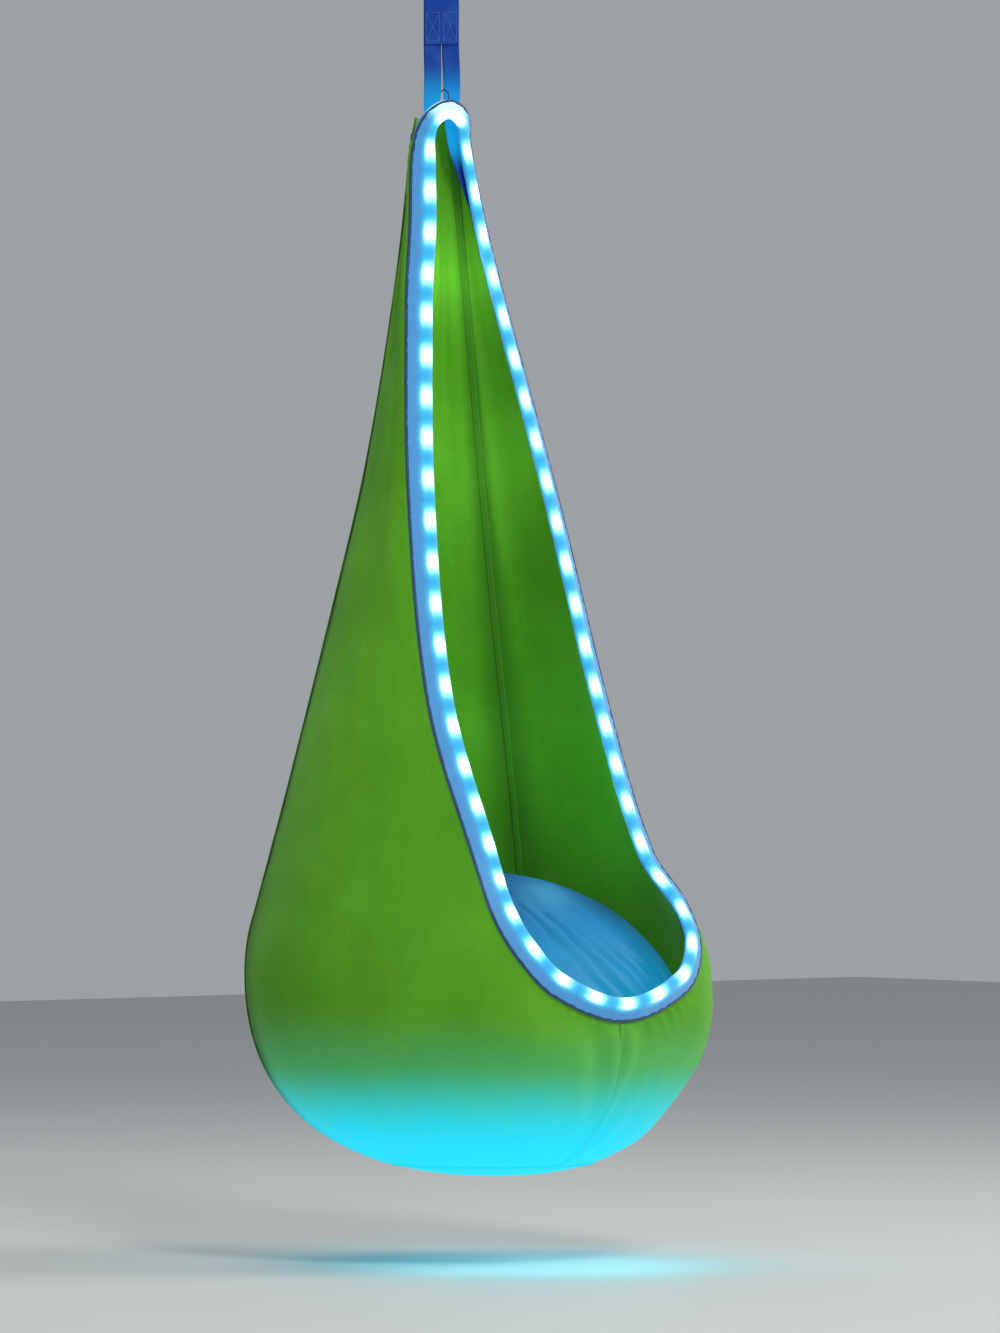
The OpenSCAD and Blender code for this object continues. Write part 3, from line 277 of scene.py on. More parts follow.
class Finish:
    """A material whose last node is one Principled shader."""
    def __init__(self, name):
        self.material = bpy.data.materials.new(name)
        self.material.use_nodes = True
        self.nodes = self.material.node_tree.nodes
        self.links = self.material.node_tree.links
        self.shader = self.nodes["Principled BSDF"]
    def _plug(self, socket, value):
        if isinstance(value, Value):
            self.links.new(value.socket, socket)
        elif value is not None:
            socket.default_value = value
    def node(self, kind, sockets=None, out=0, **settings):
        new = self.nodes.new(kind)
        for key, value in settings.items():
            setattr(new, key, value)
        for key, value in (sockets or {}).items():
            self._plug(new.inputs[key], value)
        return Value(self, new.outputs[out])
    def place(self):
        return self.node("ShaderNodeTexCoord", out="Object")
    def cut(self):
        return self.node("ShaderNodeUVMap", uv_map="cut")
    def axes(self, vector):
        split = self.node("ShaderNodeSeparateXYZ", {0: vector})
        node = split.socket.node
        return [Value(self, node.outputs[k]) for k in range(3)]
    def noise(self, where, scale, detail=3.0, rough=0.5):
        return self.node("ShaderNodeTexNoise", {"Vector": where, "Scale": scale, "Detail": detail,
                                                "Roughness": rough})
    def stretch(self, vector, scale):
        return self.node("ShaderNodeMapping", {"Vector": vector, "Scale": scale})
    def blend(self, share, first, second, mode="MIX"):
        return self.node("ShaderNodeMix", {0: share, 6: first, 7: second}, out=2, data_type="RGBA",
                         blend_type=mode)
    def dim(self, colour, power):
        grey = self.node("ShaderNodeCombineColor", {0: power, 1: power, 2: power})
        return self.blend(1.0, colour, grey, mode="MULTIPLY")
    def bump(self, height, strength, distance):
        return self.node("ShaderNodeBump", {"Height": height, "Strength": strength, "Distance": distance})
    def set(self, **sockets):
        names = {"colour": "Base Color", "rough": "Roughness", "metal": "Metallic",
                 "normal": "Normal", "glow": "Emission Color", "glow_strength": "Emission Strength",
                 "coat": "Coat Weight", "sheen": "Sheen Weight", "sheen_rough": "Sheen Roughness",
                 "specular": "Specular IOR Level"}
        for key, value in sockets.items():
            self._plug(self.shader.inputs[names[key]], value)
        return self.material

def tone(red, green, blue):
    """Linear colour of a screen colour from 0 to 255."""
    def linear(c):
        c /= 255
        return c / 12.92 if c <= 0.04045 else ((c + 0.055) / 1.055) ** 2.4
    return (linear(red), linear(green), linear(blue), 1.0)

# %% [markdown]
# ## Pod cloth
#
# The pod is a strong plain-woven nylon. Up close each thread shows, further away the cloth is a
# little uneven in colour and dirty towards the bottom. The light under the cushion shines through
# it, so the lowest part glows cyan and fades upwards. Glow is painted by height, as the real light
# sits at one height: a faint green glow over all the cloth, cyan low down, where the cloth's colour
# is painted cyan too.

# %% Pod cloth
CLOTH_PITCH, CLOTH_GLOW = 0.0011, 1.1
SEAM_SHADE_IN, SEAM_SHADE_SOFT = 0.030, 0.026

def cloth_weave(f, pitch):
    u, v, _ = f.axes(f.cut())
    warp = (u * (2 * math.pi / pitch)).sin()
    weft = (v * (2 * math.pi / pitch)).sin()
    return warp * weft, u, v

def pod_cloth(name, middle=0.0, half=10.0):
    """middle and half: where the sheet's seams are on its cut map, in metres; beside them the cloth gets
    painted shade.
    """
    f = Finish(name)
    weave, u, _ = cloth_weave(f, CLOTH_PITCH)
    where = f.place()
    _, _, z = f.axes(where)
    patches = f.noise(where, 5.0, 4.0, 0.55)
    slubs = f.noise(f.stretch(f.cut(), (60, 900, 1)), 1.0, 2.0)
    slubs_across = f.noise(f.stretch(f.cut(), (900, 60, 1)), 1.0, 2.0)
    fine = f.noise(where, 140.0, 3.0)
    colour = f.blend(patches.above(0.5, 0.22), tone(80, 156, 24), tone(98, 178, 40))
    thick_threads = (slubs * 0.5 + slubs_across * 0.5).above(0.56, 0.1)
    colour = f.blend(thick_threads * 0.35, colour, tone(60, 132, 26))
    colour = f.blend((weave * 0.5 + 0.5) * 0.22, colour, tone(46, 104, 20))
    dust = (1 - z.above(-1.86, 0.12)) * f.noise(where, 11.0, 5.0, 0.65).above(0.56, 0.12)
    colour = f.blend(dust * 0.22, colour, tone(120, 128, 92))
    # Painted glow, by height: a faint green glow over all the cloth that turns cyan low down
    low = 1 - (z + patches * 0.05).above(-1.818, 0.11)
    lowest = 1 - (z + patches * 0.04).above(-1.880, 0.075)
    painted_glow = f.blend(low, tone(24, 44, 5), tone(20, 140, 120))
    painted_glow = f.blend(lowest, painted_glow, tone(20, 205, 240))
    # Painted light: the lowest cloth's colour is tinted cyan as well
    colour = f.blend(lowest, colour, tone(30, 120, 130))
    # The cloth is doubled and folded in beside a seam, so less light comes through it there: painted shade
    # darkens its colour and its glow beside the seam
    folded = (u - middle).abs().above(half - SEAM_SHADE_IN, SEAM_SHADE_SOFT)
    colour = f.blend(folded * 0.55 * (1 - lowest), colour, tone(30, 88, 12))
    painted_glow = f.blend(folded * 0.7 * (1 - lowest), painted_glow, tone(4, 10, 2))
    normal = f.bump(weave * 0.6 + slubs * 0.6 + slubs_across * 0.6 + fine * 0.5, 0.35, 0.0004)
    return f.set(colour=colour, rough=0.74 + fine * 0.12, normal=normal, sheen=0.08, sheen_rough=0.45,
                 specular=0.12, glow=painted_glow, glow_strength=CLOTH_GLOW)

SIDE_CUT, BACK_CUT = (0.42, 1.5), (0.5, 1.6)
green_cloth = pod_cloth("green cloth")
side_cloth = pod_cloth("side cloth", 0.0, SIDE_CUT[0])
leaf_cloth = pod_cloth("back cloth", BACK_CUT[0] / 2, BACK_CUT[0] / 2)
# With no width between its seams, the seam tape gets this painted seam shade all over
seam_cloth = pod_cloth("seam cloth", 0.0, 0.0)
print("made", green_cloth.name, side_cloth.name, leaf_cloth.name, seam_cloth.name)

# %% [markdown]
# ## Webbing
#
# The strap is woven polyester webbing: a fine herringbone down its length, a tight edge on each
# side and a slightly furry look. The pattern reads the cut map, so it turns with the strap.

# %% Blue webbing
def webbing(name, width):
    f = Finish(name)
    u, v, _ = f.axes(f.cut())
    lane = ((u / 0.0032).fract() - 0.5).abs()
    slant = ((v / 0.0021 + lane * 1.6).fract() - 0.5).abs() * 2
    rib = ((u / 0.0008).fract() - 0.5).abs() * 2
    where = f.place()
    worn = f.noise(where, 26.0, 4.0, 0.6)
    fuzz = f.noise(where, 700.0, 2.0)
    edge = 1 - (u - width / 2).abs().above(width / 2 - 0.0022, 0.0006)
    colour = f.blend(slant, tone(14, 52, 140), tone(26, 78, 178))
    colour = f.blend(worn.above(0.56, 0.1) * 0.3, colour, tone(52, 102, 190))
    colour = f.blend((1 - edge) * 0.5, colour, tone(18, 50, 118))
    _, _, z = f.axes(where)
    below = z * -1
    # Painted glow: the webbing glows cyan in a band at the height of the top of the opening, as if lit by
    # the sleeve's lights
    painted_glow_band = below.above(0.370, 0.04) * (1 - below.above(0.480, 0.02))
    painted_glow = f.blend(painted_glow_band, (0, 0, 0, 1), tone(0, 150, 190))
    normal = f.bump(slant * 0.7 + rib * 0.3 * edge + fuzz * 0.4, 0.55, 0.0005)
    return f.set(colour=colour, rough=0.78 - slant * 0.12, normal=normal, sheen=0.12, sheen_rough=0.4,
                 specular=0.15, glow=painted_glow, glow_strength=0.9)

strap_webbing = webbing("strap webbing", 0.052)
leg_webbing = webbing("leg webbing", 0.026)

# %% [markdown]
# ## Sewing thread
#
# Thread is a smooth twisted strand, a little shinier than the cloth it holds.

# %% Threads and tapes
def plain_finish(name, colour, rough, speck=0.12, scale=160.0, **more):
    """A moulded or dyed surface: a little uneven in colour and in gloss."""
    f = Finish(name)
    where = f.place()
    cloud = f.noise(where, 14.0, 4.0, 0.6)
    grain = f.noise(where, scale, 3.0)
    darker = tuple(c * (1 - speck * 2) for c in colour[:3]) + (1,)
    shade = f.blend(cloud.above(0.5, 0.25), darker, colour)
    normal = f.bump(grain, 0.18, 0.0003)
    return f.set(colour=shade, rough=rough + grain * 0.14 - 0.07, normal=normal, **more)

blue_thread = plain_finish("blue thread", tone(70, 118, 205), 0.45, sheen=0.3)
green_thread = plain_finish("green thread", tone(112, 184, 58), 0.45, sheen=0.3)
dark_tape = plain_finish("sleeve binding", tone(24, 60, 96), 0.75, 0.2, 420.0, sheen=0.3)

# %% [markdown]
# ## Lit sleeve
#
# The sleeve is thin stretch cloth round a tube of lights. The tube lies in the roll at the inner
# edge, so that strip is bright, with a white spot over every light, while the flat part towards the
# panel only catches stray light and is a duller blue. The cut map runs along the rim and round the
# sleeve, and every mask is written on it.

# %% Sleeve cloth
LED_START, LED_SPACING = 20.0, 64.0
LED_COUNT = round((2 * RIM_HALF - 2 * LED_START) / LED_SPACING)
LED_PITCH = (2 * RIM_HALF - 2 * LED_START) / LED_COUNT
print("lights", LED_COUNT + 1, "every", round(LED_PITCH, 1), "mm")

SPOT_AT, SPOT_HALF = 0.0350, 0.0075  # middle and half width of the lit strip, in metres
SPOT_LONG, SPOT_WIDE = 0.0200, 0.006325
STRETCH_PITCH = 0.0009

def sleeve_finish():
    f = Finish("sleeve cloth")
    # u: metres from the outer front edge, round the roll, to the outer back edge; v: metres along
    weave, u, v = cloth_weave(f, STRETCH_PITCH)
    along = (((v - LED_START * MM) / (LED_PITCH * MM) + 0.5).fract() - 0.5).abs() * LED_PITCH * MM
    off = (u - SPOT_AT).abs() - SPOT_HALF
    off = f.node("ShaderNodeMath", {0: off, 1: 0.0}, operation="MAXIMUM")
    reach = (along * along / SPOT_LONG ** 2 + off * off / SPOT_WIDE ** 2) ** 0.5
    spot = 1 - reach.above(0.66, 0.62)
    halo = 1 - reach.above(1.3, 1.0)
    tube = 1 - off.above(0.006, 0.005)
    front = 1 - u.above(0.066, 0.008)
    crease = f.noise(f.stretch(f.cut(), (26, 190, 1)), 1.0, 3.0, 0.6)
    colour = f.blend(tube, tone(84, 150, 190), tone(24, 104, 150))
    colour = f.blend(crease.above(0.55, 0.1) * 0.25, colour, tone(78, 140, 196))
    light = f.blend(tube, tone(36, 110, 196), tone(40, 150, 214))
    light = f.blend(halo * front, light, tone(70, 205, 232))
    light = f.blend(spot * front, light, tone(214, 255, 250))
    # Painted glow: the top of the arch is painted brighter, near white, beyond the spot over each light
    arch = (v - RIM_HALF * MM).abs().above((RIM_HALF - 30) * MM, 0.012)
    light = f.blend(arch * (0.4 + front * 0.6), light, tone(196, 254, 252))
    power = 0.40 + tube * 0.28 + halo * front * 0.30 + spot * front * 0.75 + arch * 0.6
    normal = f.bump(weave * 0.4 + crease * 1.6, 0.5, 0.0008)
    return f.set(colour=colour, rough=0.62, normal=normal, sheen=0.3, sheen_rough=0.4, specular=0.3,
                 glow=f.dim(light, power), glow_strength=1.15)

sleeve_cloth = sleeve_finish()

# %% [markdown]
# ## Air cushion
#
# The cushion is a flocked vinyl skin, deep blue, with light from the sleeve on its near edge and
# from the lamp below. Its glow follows height, because the lamp is under it.

# %% Cushion vinyl
def cushion_finish():
    f = Finish("cushion vinyl")
    where = f.place()
    _, y, z = f.axes(where)
    cloud = f.noise(where, 7.0, 4.0, 0.6)
    flock = f.noise(where, 900.0, 2.0)
    crease = f.noise(f.stretch(where, (9, 9, 30)), 1.0, 4.0, 0.6)
    near = 1 - y.above(-0.26, 0.12)
    low = 1 - z.above(-1.68, 0.14)
    colour = f.blend(cloud.above(0.5, 0.2), tone(0, 58, 116), tone(0, 78, 138))
    light = f.blend(near, tone(0, 90, 150), tone(24, 170, 205))
    # Painted glow: besides the light from the sleeve and the lamp, the creases get a little painted
    # highlight
    power = 0.05 + near * 0.34 + low * 0.2 + crease.above(0.5, 0.2) * 0.06
    normal = f.bump(flock * 0.4 + crease * 2.0, 0.35, 0.001)
    return f.set(colour=colour, rough=0.5 + flock * 0.12, normal=normal, sheen=0.05, specular=0.25,
                 glow=f.dim(light, power), glow_strength=1.0)

cushion_vinyl = cushion_finish()

# %% [markdown]
# ## Metals, plastics and rubber
#
# The hanging hardware is zinc-plated forged steel: dull, scratched along its length and brighter
# where the pieces rub. The battery case is textured grey plastic.

# %% Metals
def steel(name, colour, rough, brushed=(60, 60, 700), rub=0.35):
    f = Finish(name)
    where = f.place()
    lines = f.noise(f.stretch(where, brushed), 1.0, 4.0, 0.65)
    cloud = f.noise(where, 55.0, 5.0, 0.62)
    pits = f.noise(where, 900.0, 2.0).above(0.66, 0.06)
    worn = cloud.above(0.56, 0.08)
    shade = f.blend(worn * rub, colour, tuple(min(1, c * 1.35) for c in colour[:3]) + (1,))
    shade = f.blend(pits * 0.6, shade, tone(70, 66, 62))
    gloss = rough + lines * 0.2 - worn * 0.12 + pits * 0.3
    return f.set(colour=shade, metal=1.0, rough=gloss, normal=f.bump(lines - pits * 0.8, 0.22, 0.0003))

forged_steel = steel("plated steel", tone(176, 178, 182), 0.30)
turned_steel = steel("turned steel", tone(200, 201, 204), 0.20, (30, 30, 1400))
spring_steel = steel("spring steel", tone(168, 170, 174), 0.25, (900, 900, 900))
sleeve_alloy = steel("dark anodised alloy", tone(46, 48, 54), 0.34, (500, 500, 60), 0.15)
cell_wrap = steel("cell jacket", tone(128, 110, 70), 0.3, (300, 300, 30), 0.1)
seal_rubber = plain_finish("seal rubber", tone(26, 26, 27), 0.75, 0.1, 500.0)
case_plastic = plain_finish("case plastic", tone(58, 62, 66), 0.55, 0.1, 1500.0)
button_plastic = plain_finish("button plastic", tone(196, 70, 40), 0.4, 0.08, 900.0, coat=0.2)
lead_jacket = plain_finish("lead jacket", tone(30, 30, 33), 0.42, 0.1, 300.0)
board_white = plain_finish("white board", tone(232, 232, 226), 0.4, 0.05, 200.0, coat=0.4)
board_green = plain_finish("green board", tone(22, 92, 48), 0.35, 0.15, 200.0, coat=0.5)
valve_plastic = plain_finish("valve plastic", tone(40, 120, 190), 0.3, 0.05, 300.0, coat=0.3)

# %% Lights
def lit(name, colour, glow, strength, rough=0.3):
    f = Finish(name)
    speck = f.noise(f.place(), 300.0, 2.0)
    return f.set(colour=f.blend(speck * 0.2, colour, tone(240, 250, 250)), rough=rough + speck * 0.1,
                 normal=f.bump(speck, 0.1, 0.0003), glow=f.blend(speck * 0.15, glow, tone(255, 255, 255)),
                 glow_strength=strength)

lit_chip = lit("lit chip", tone(250, 250, 230), tone(190, 250, 255), 3.0)
lit_plug = lit("lit plug", tone(220, 250, 250), tone(190, 252, 252), 1.3)
clear_tube = lit("clear tube", tone(190, 225, 240), tone(60, 170, 230), 0.5, 0.15)
lens_cloud = lit("cloudy lens", tone(225, 250, 250), tone(120, 238, 250), 1.6, 0.4)
print("finishes", len(bpy.data.materials))

# %% [markdown]
# ## Finish the carried-over solids
#
# The hardware, the lamp and the battery case are right as they are, so they only get their finish.

# %% Give each solid its finish
FINISHES = {
    forged_steel: "swivel_housing swivel_shaft_eye carabiner_body carabiner_gate d_ring",
    turned_steel: "bearing_plug race_lower race_upper bearing_balls shaft_nut gate_pin "
                  "lamp_screws cover_screws",
    spring_steel: "gate_spring button_spring cell_contacts",
    sleeve_alloy: "lock_sleeve",
    seal_rubber: "dust_seal lamp_gasket",
    case_plastic: "lamp_shell battery_case case_cover",
    button_plastic: "push_button",
    cell_wrap: "cells",
    board_green: "control_board",
    board_white: "led_ribbon lamp_board",
    lit_chip: "led_chips lamp_lights",
    lit_plug: "tube_joint",
    clear_tube: "light_tube",
    lens_cloud: "lamp_lens",
    lead_jacket: "lamp_lead rim_lead",
    valve_plastic: "valve_body valve_cap",
}
for finish, names in FINISHES.items():
    for name in names.split():
        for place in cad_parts[name].material_slots:
            place.material = finish
print("solids finished", sum(len(names.split()) for names in FINISHES.values()))

# %% [markdown]
# ## Side panels
#
# Each side panel runs from the sleeve round the pod to the seam at the back and down to the round
# base. It hangs under tension: folds fan down from the strap, the cloth is gathered where it is
# sewn to the stiffer sleeve, and small puckers run along every seam. A grid is laid on the wall
# and each point is moved in or out a few millimetres by these folds.

# %% Side panels
FIRST, CORNER = 6, 31
TUCK, HEM = 4.0, 2.0
HEM_SHARE = 0.03  # of a side panel's width, laid flat under the sleeve
DEGREES = 180 / math.pi
LIP_FIRST = 38  # station from which the panel is gathered under the lip
FOLD_MOST = 6.5

def rim_edge(s, beyond):
    return rim_place(s, -rim_width(s) / 2 - beyond, 0)

def wall_place(p):
    h = p.z - POD_Z
    m = outline_at(h)
    return math.degrees(math.atan2(p.x, -p.y - lean(h))), m, math.hypot(p.x, p.y + lean(h)) / half_width(m)

def far_end(i):
    if i <= CORNER:
        s0 = rim_station(FIRST)
        share = (rim_station(i) - s0) / (rim_station(CORNER) - s0)
        return SEAM, M_TOP + (M_BASE - M_TOP) * (1 - max(0.0, 1 - share) ** 1.15)
    return SEAM * (RIM_STEPS - i) / 13, M_BASE

def puckers(near, along, deep, length, seed):
    """Gathers beside a seam: near and along in millimetres."""
    wave = math.sin(2 * math.pi * along / length + 2.2 * ripple(along / 60, 0, seed))
    return deep * wave * math.exp(-near / 16) * (0.65 + 0.6 * ripple(along / 35, 1.3, seed))

def hanging_folds(angle, m, seed):
    """Folds that fan down from the strap, and soft dents in the bowl."""
    up = clamp((m - 250) / 900)
    fan = 4.2 * math.sin(0.19 * angle + 3.0 * ripple(angle / 26, m / 420, seed))
    fan *= ease(up) * ease((M_TOP - m) / 160)
    dents = 4.5 * ripple(angle / 24, m / 150, seed + 3) * ease((m + 380) / 300)
    slack = 1.6 * ripple(angle / 7, m / 60, seed + 5)
    return fan + dents + slack

def side_point(i, q, side, seed):
    s = rim_station(i)
    if q < HEM_SHARE:
        p = mix(rim_edge(s, -TUCK), rim_edge(s, HEM), q / HEM_SHARE)
        out, move = rim_face(s), 0
    else:
        b = (q - HEM_SHARE) / (1 - HEM_SHARE)
        b = b * (0.45 + 0.55 * b) if b < 1 else 1.0
        near, far = wall_place(rim_edge(s, HEM)), far_end(i)
        angle, m = mix(near[0], far[0], b), mix(near[1], far[1], b)
        p = wall(angle, m, 1 + (near[2] - 1) * (1 - ease(b / 0.55)))
        out = wall_normal(angle, m)
        width = abs(far[0] - near[0]) / DEGREES * half_width(m) + abs(far[1] - near[1]) * 0.3
        rim_gap, seam_gap = b * width, (1 - b) * width
        hold = ease(rim_gap / 45) * ease(seam_gap / 30)
        move = hanging_folds(angle, m, seed) * hold
        move += puckers(rim_gap, s, 2.4, 19, seed + 7) * ease(rim_gap / 5)
        move += puckers(seam_gap, m, 1.3, 14, seed + 9) * ease(seam_gap / 4)
        if i > LIP_FIRST:
            lip = ease((i - LIP_FIRST) / 4) * ease(1 - rim_gap / 150) * ease(rim_gap / 12)
            turn = angle * 0.42 + rim_gap / 26 + 3 * ripple(rim_gap / 60, angle / 20, seed)
            move += lip * 4.5 * math.sin(turn)
        move = clamp(move, -FOLD_MOST, FOLD_MOST)
    p = p + out * move + Vector((0.15, 0, 0))
    return p if side > 0 else flip(p)

def side_piece(name, side, seed):
    word = "right" if side > 0 else "left"
    def place(u, v):
        return side_point(mix(RIM_STEPS, FIRST, v), u, side, seed)
    piece = sheet_mesh(name, place, 60, 190, SIDE_CUT, side_cloth)
    thicken(piece, 2.0)
    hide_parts(f"{word}_panel")
    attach(piece, "pod")
    return piece

right_side = side_piece("right_side_cloth", 1, 11.0)
side_piece("left_side_cloth", -1, 23.0)
print("side panels", len(right_side.data.polygons), "faces each")

# %% [markdown]
# ## Back panel and base panel
#
# The back panel is a long leaf between the two side seams. The base is a round of cloth sewn to
# the other three. Both follow the wall too, and both have puckers beside their seams.

# %% Back panel
def back_point(u, v):
    m = mix(M_BASE, M_TOP + 24, v)
    edge = SEAM + 0.3 / half_width(m) * DEGREES
    angle = mix(edge, 360 - edge, u)
    gap = min(u, 1 - u) * (360 - 2 * edge) / DEGREES * half_width(m)
    middle = abs(angle - 180) / DEGREES * half_width(m)
    move = hanging_folds(angle, m, 41.0) * ease(gap / 40) * ease(middle / 60)
    move += puckers(gap, m, 1.3, 14, 43.0) * ease(gap / 4)
    return wall(angle, m) + wall_normal(angle, m) * clamp(move, -3.5, 4.5)

back = sheet_mesh("back_cloth", back_point, 84, 190, BACK_CUT, leaf_cloth)
thicken(back, 3.0)
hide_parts("back_panel")
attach(back, "pod")

# %% Base panel
def base_round():
    bm = bmesh.new()
    bmesh.ops.create_circle(bm, cap_ends=True, cap_tris=True, radius=1.0, segments=96)
    spokes = [e for e in bm.edges if not e.is_boundary]
    bmesh.ops.subdivide_edges(bm, edges=spokes, cuts=9, use_grid_fill=False)
    bmesh.ops.connect_verts(bm, verts=[v for v in bm.verts if 0.01 < v.co.length < 0.999])
    layer = bm.loops.layers.uv.new("cut")
    for face in bm.faces:
        for loop in face.loops:
            loop[layer].uv = loop.vert.co.xy * BASE_R * MM
    for vert in bm.verts:
        r = vert.co.length
        angle = math.degrees(math.atan2(vert.co.x, -vert.co.y)) if r > 1e-6 else 0
        m = mix(-BOWL_ARC, M_BASE - 0.3, r)
        gap = (1 - r) * (M_BASE + BOWL_ARC)
        move = puckers(gap, angle * 2.6, 1.2, 13, 57.0) * ease(gap / 4) if r > 0.05 else 0
        vert.co = (wall(angle, m) + wall_normal(angle, m) * move) * MM
    bmesh.ops.recalc_face_normals(bm, faces=bm.faces[:])
    return keep("base_cloth", bm, green_cloth)

base = base_round()
thicken(base, 2.0)
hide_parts("base_panel")
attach(base, "pod")
print("back", len(back.data.polygons), "base", len(base.data.polygons), "faces")

# %% [markdown]
# ## Sewn lines
#
# Where two sheets meet, the raw edges are folded into a narrow tape, a thin strip along the seam,
# held by two rows of stitches. A stitch is one short rounded strand that is repeated hundreds of
# times, so it has only a few faces.

# %% Strips and stitches
def strip(name, line, width, thickness, material, steps, bulge=0.4, closed=False):
    """line(t) gives a point, the way across and the way out, for t from 0 to 1."""
    def place(u, v):
        p, side, out = line(v)
        crown = 1 - (2 * u - 1) ** 2
        return p + side * (u - 0.5) * width + out * (crown * bulge)
    length = sum((line((k + 1) / 60)[0] - line(k / 60)[0]).length for k in range(60)) * MM
    piece = sheet_mesh(name, place, 3, steps, (width * MM, length), material, close=closed)
    thicken(piece, thickness)
    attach(piece, "pod")
    return piece

def stitches(name, lines, material, length=3.1, thick=0.75):
    """lines: functions as for strip, with the number of stitches; one short strand per stitch."""
    whole, strand = bmesh.new(), bpy.data.meshes.new("strand")
    one = bmesh.new()
    bmesh.ops.create_uvsphere(one, u_segments=5, v_segments=4, radius=0.5)
    one.to_mesh(strand)
    one.free()
    for line, count in lines:
        for k in range(count):
            t = (k + 0.5) / count
            p, side, out = line(t)
            ahead = (line(min(1, t + 0.0015))[0] - line(max(0, t - 0.0015))[0]).normalized()
            side = out.cross(ahead).normalized()
            turn = Matrix((side, out, ahead)).transposed().to_4x4()
            size = Matrix.Diagonal((thick, thick * 0.7, length, 1))
            place = Matrix.Scale(MM, 4) @ Matrix.Translation(p) @ turn @ size
            strand.transform(place)
            whole.from_mesh(strand)
            strand.transform(place.inverted())
    piece = keep(name, whole, material)
    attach(piece, "pod")
    print(name, sum(count for _, count in lines), "stitches")

def offset(line, by, lift=0.0):
    def moved(t):
        p, side, out = line(t)
        return p + side * by + out * lift, side, out
    return moved

def side_seam(side, outer=True):
    def line(t):
        m = mix(M_BASE, M_TOP, t)
        angle = SEAM if side > 0 else 360 - SEAM
        ahead = (wall(angle, min(M_TOP, m + 2)) - wall(angle, m - 2)).normalized()
        out = wall_normal(angle, m) * (1 if outer else -1)
        return wall(angle, m) + out * (2.2 if outer else 2.4), ahead.cross(out).normalized(), out
    return line

def base_seam(outer=True):
    def line(t):
        angle = 360 * t
        out = wall_normal(angle, M_BASE)
        ahead = (wall(angle + 1, M_BASE) - wall(angle - 1, M_BASE)).normalized()
        p = wall(angle, M_BASE) + out * (1.8 if outer else -2.2)
        return p, ahead.cross(out).normalized(), out if outer else -out
    return line

for side, word in ((1, "right"), (-1, "left")):
    for outer, where in ((True, "outside"), (False, "inside")):
        seam = side_seam(side, outer)
        strip(f"{word}_seam_{where}", seam, 11, 0.9, seam_cloth, 260)
        rows = [(offset(seam, by, 0.75), 380) for by in (-3.6, 3.6)]
        stitches(f"{word}_seam_stitches_{where}", rows, green_thread)

def front_seam(outer=True):
    _, lip, lip_pull = wall_place(rim_edge(RIM_HALF - 1, HEM))
    def line(t):
        m = mix(M_BASE, lip, t)
        out = wall_normal(0, m)
        ahead = (wall(0, m + 1) - wall(0, m - 1)).normalized()
        p = wall(0, m, 1 + (lip_pull - 1) * ease(t)) + out * (1.9 if outer else -2.1)
        out = out if outer else -out
        return p, ahead.cross(out).normalized(), out
    return line

for outer, where in ((True, "outside"), (False, "inside")):
    seam = front_seam(outer)
    strip(f"front_seam_{where}", seam, 8, 0.5, green_cloth, 60, bulge=0.2)
    rows = [(offset(seam, by, 0.7), 60) for by in (-3.0, 3.0)]
    stitches(f"front_seam_stitches_{where}", rows, green_thread)
    seam = base_seam(outer)
    strip(f"base_seam_{where}", seam, 10, 0.8, green_cloth, 180, closed=True)
    rows = [(offset(seam, by, 0.7), 210) for by in (-3.3, 3.3)]
    stitches(f"base_seam_stitches_{where}", rows, green_thread)

# %% [markdown]
# ## The lit sleeve
#
# The sleeve is one long strip of stretch cloth folded over the tube of lights and sewn to the
# panel's edge. It is soft, so it gathers where the rim bends and dents between its stitches.

# %% Sleeve round the rim
LIP_OUT = 1.0 + 0.2 + 1.5
ROLL = SLEEVE_T / 2 - 0.75

def sleeve_profile(w, u):
    """Point of the folded strip: across the rim, and out of it; u from front edge to back edge."""
    e = w / 2
    c = e - SLEEVE_T / 2
    straight = c + e
    turn = math.pi * ROLL
    total = 2 * straight + turn
    d = u * total
    def height(b):
        t = clamp((b + e) / (c + e))
        return mix(LIP_OUT - 0.75, ROLL, t ** 0.8)
    if d < straight:
        b = -e + d
        return b, height(b), total
    if d < straight + turn:
        a = (d - straight) / ROLL
        return c + ROLL * math.sin(a), ROLL * math.cos(a), total
    b = c - (d - straight - turn)
    return b, -height(b), total

def sleeve_point(u, v):
    s = 2 * RIM_HALF * v
    w = rim_width(s)
    b, n, total = sleeve_profile(w, u)
    edge = min(u, 1 - u) * total
    share = rim_share(s)
    bend = 1.0 + 1.4 * math.exp(-((share - 0.62) / 0.06) ** 2) + math.exp(-((share - 0.8) / 0.05) ** 2)
    gather = math.sin(2 * math.pi * s / 16 + 2.6 * ripple(s / 50, 0, 5)) * math.exp(-edge / 9) * 0.55
    dent = 0.5 * bend * ripple(s / 13, edge / 22, 8) + 0.35 * ripple(s / 34, edge / 14, 9)
    move = (gather + dent) * ease(edge / 4 + 0.25)
    sign = 1 if n >= 0 else -1
    out = Vector((0.25 if b > 0 else 0.0, sign, 0)).normalized()
    return rim_place(s, b + out.x * move, n + out.y * move * (1 if abs(n) > 1.5 else 0.2))

sleeve_cut = (sleeve_profile(SLEEVE_W, 0)[2] * MM, 2 * RIM_HALF * MM)
sleeve = sheet_mesh("lit_sleeve", sleeve_point, 30, 620, sleeve_cut, sleeve_cloth, close=True)
thicken(sleeve, 1.2)
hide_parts("light_sleeve")
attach(sleeve, "pod")
print("sleeve cut", [round(d, 3) for d in sleeve_cut], "m")

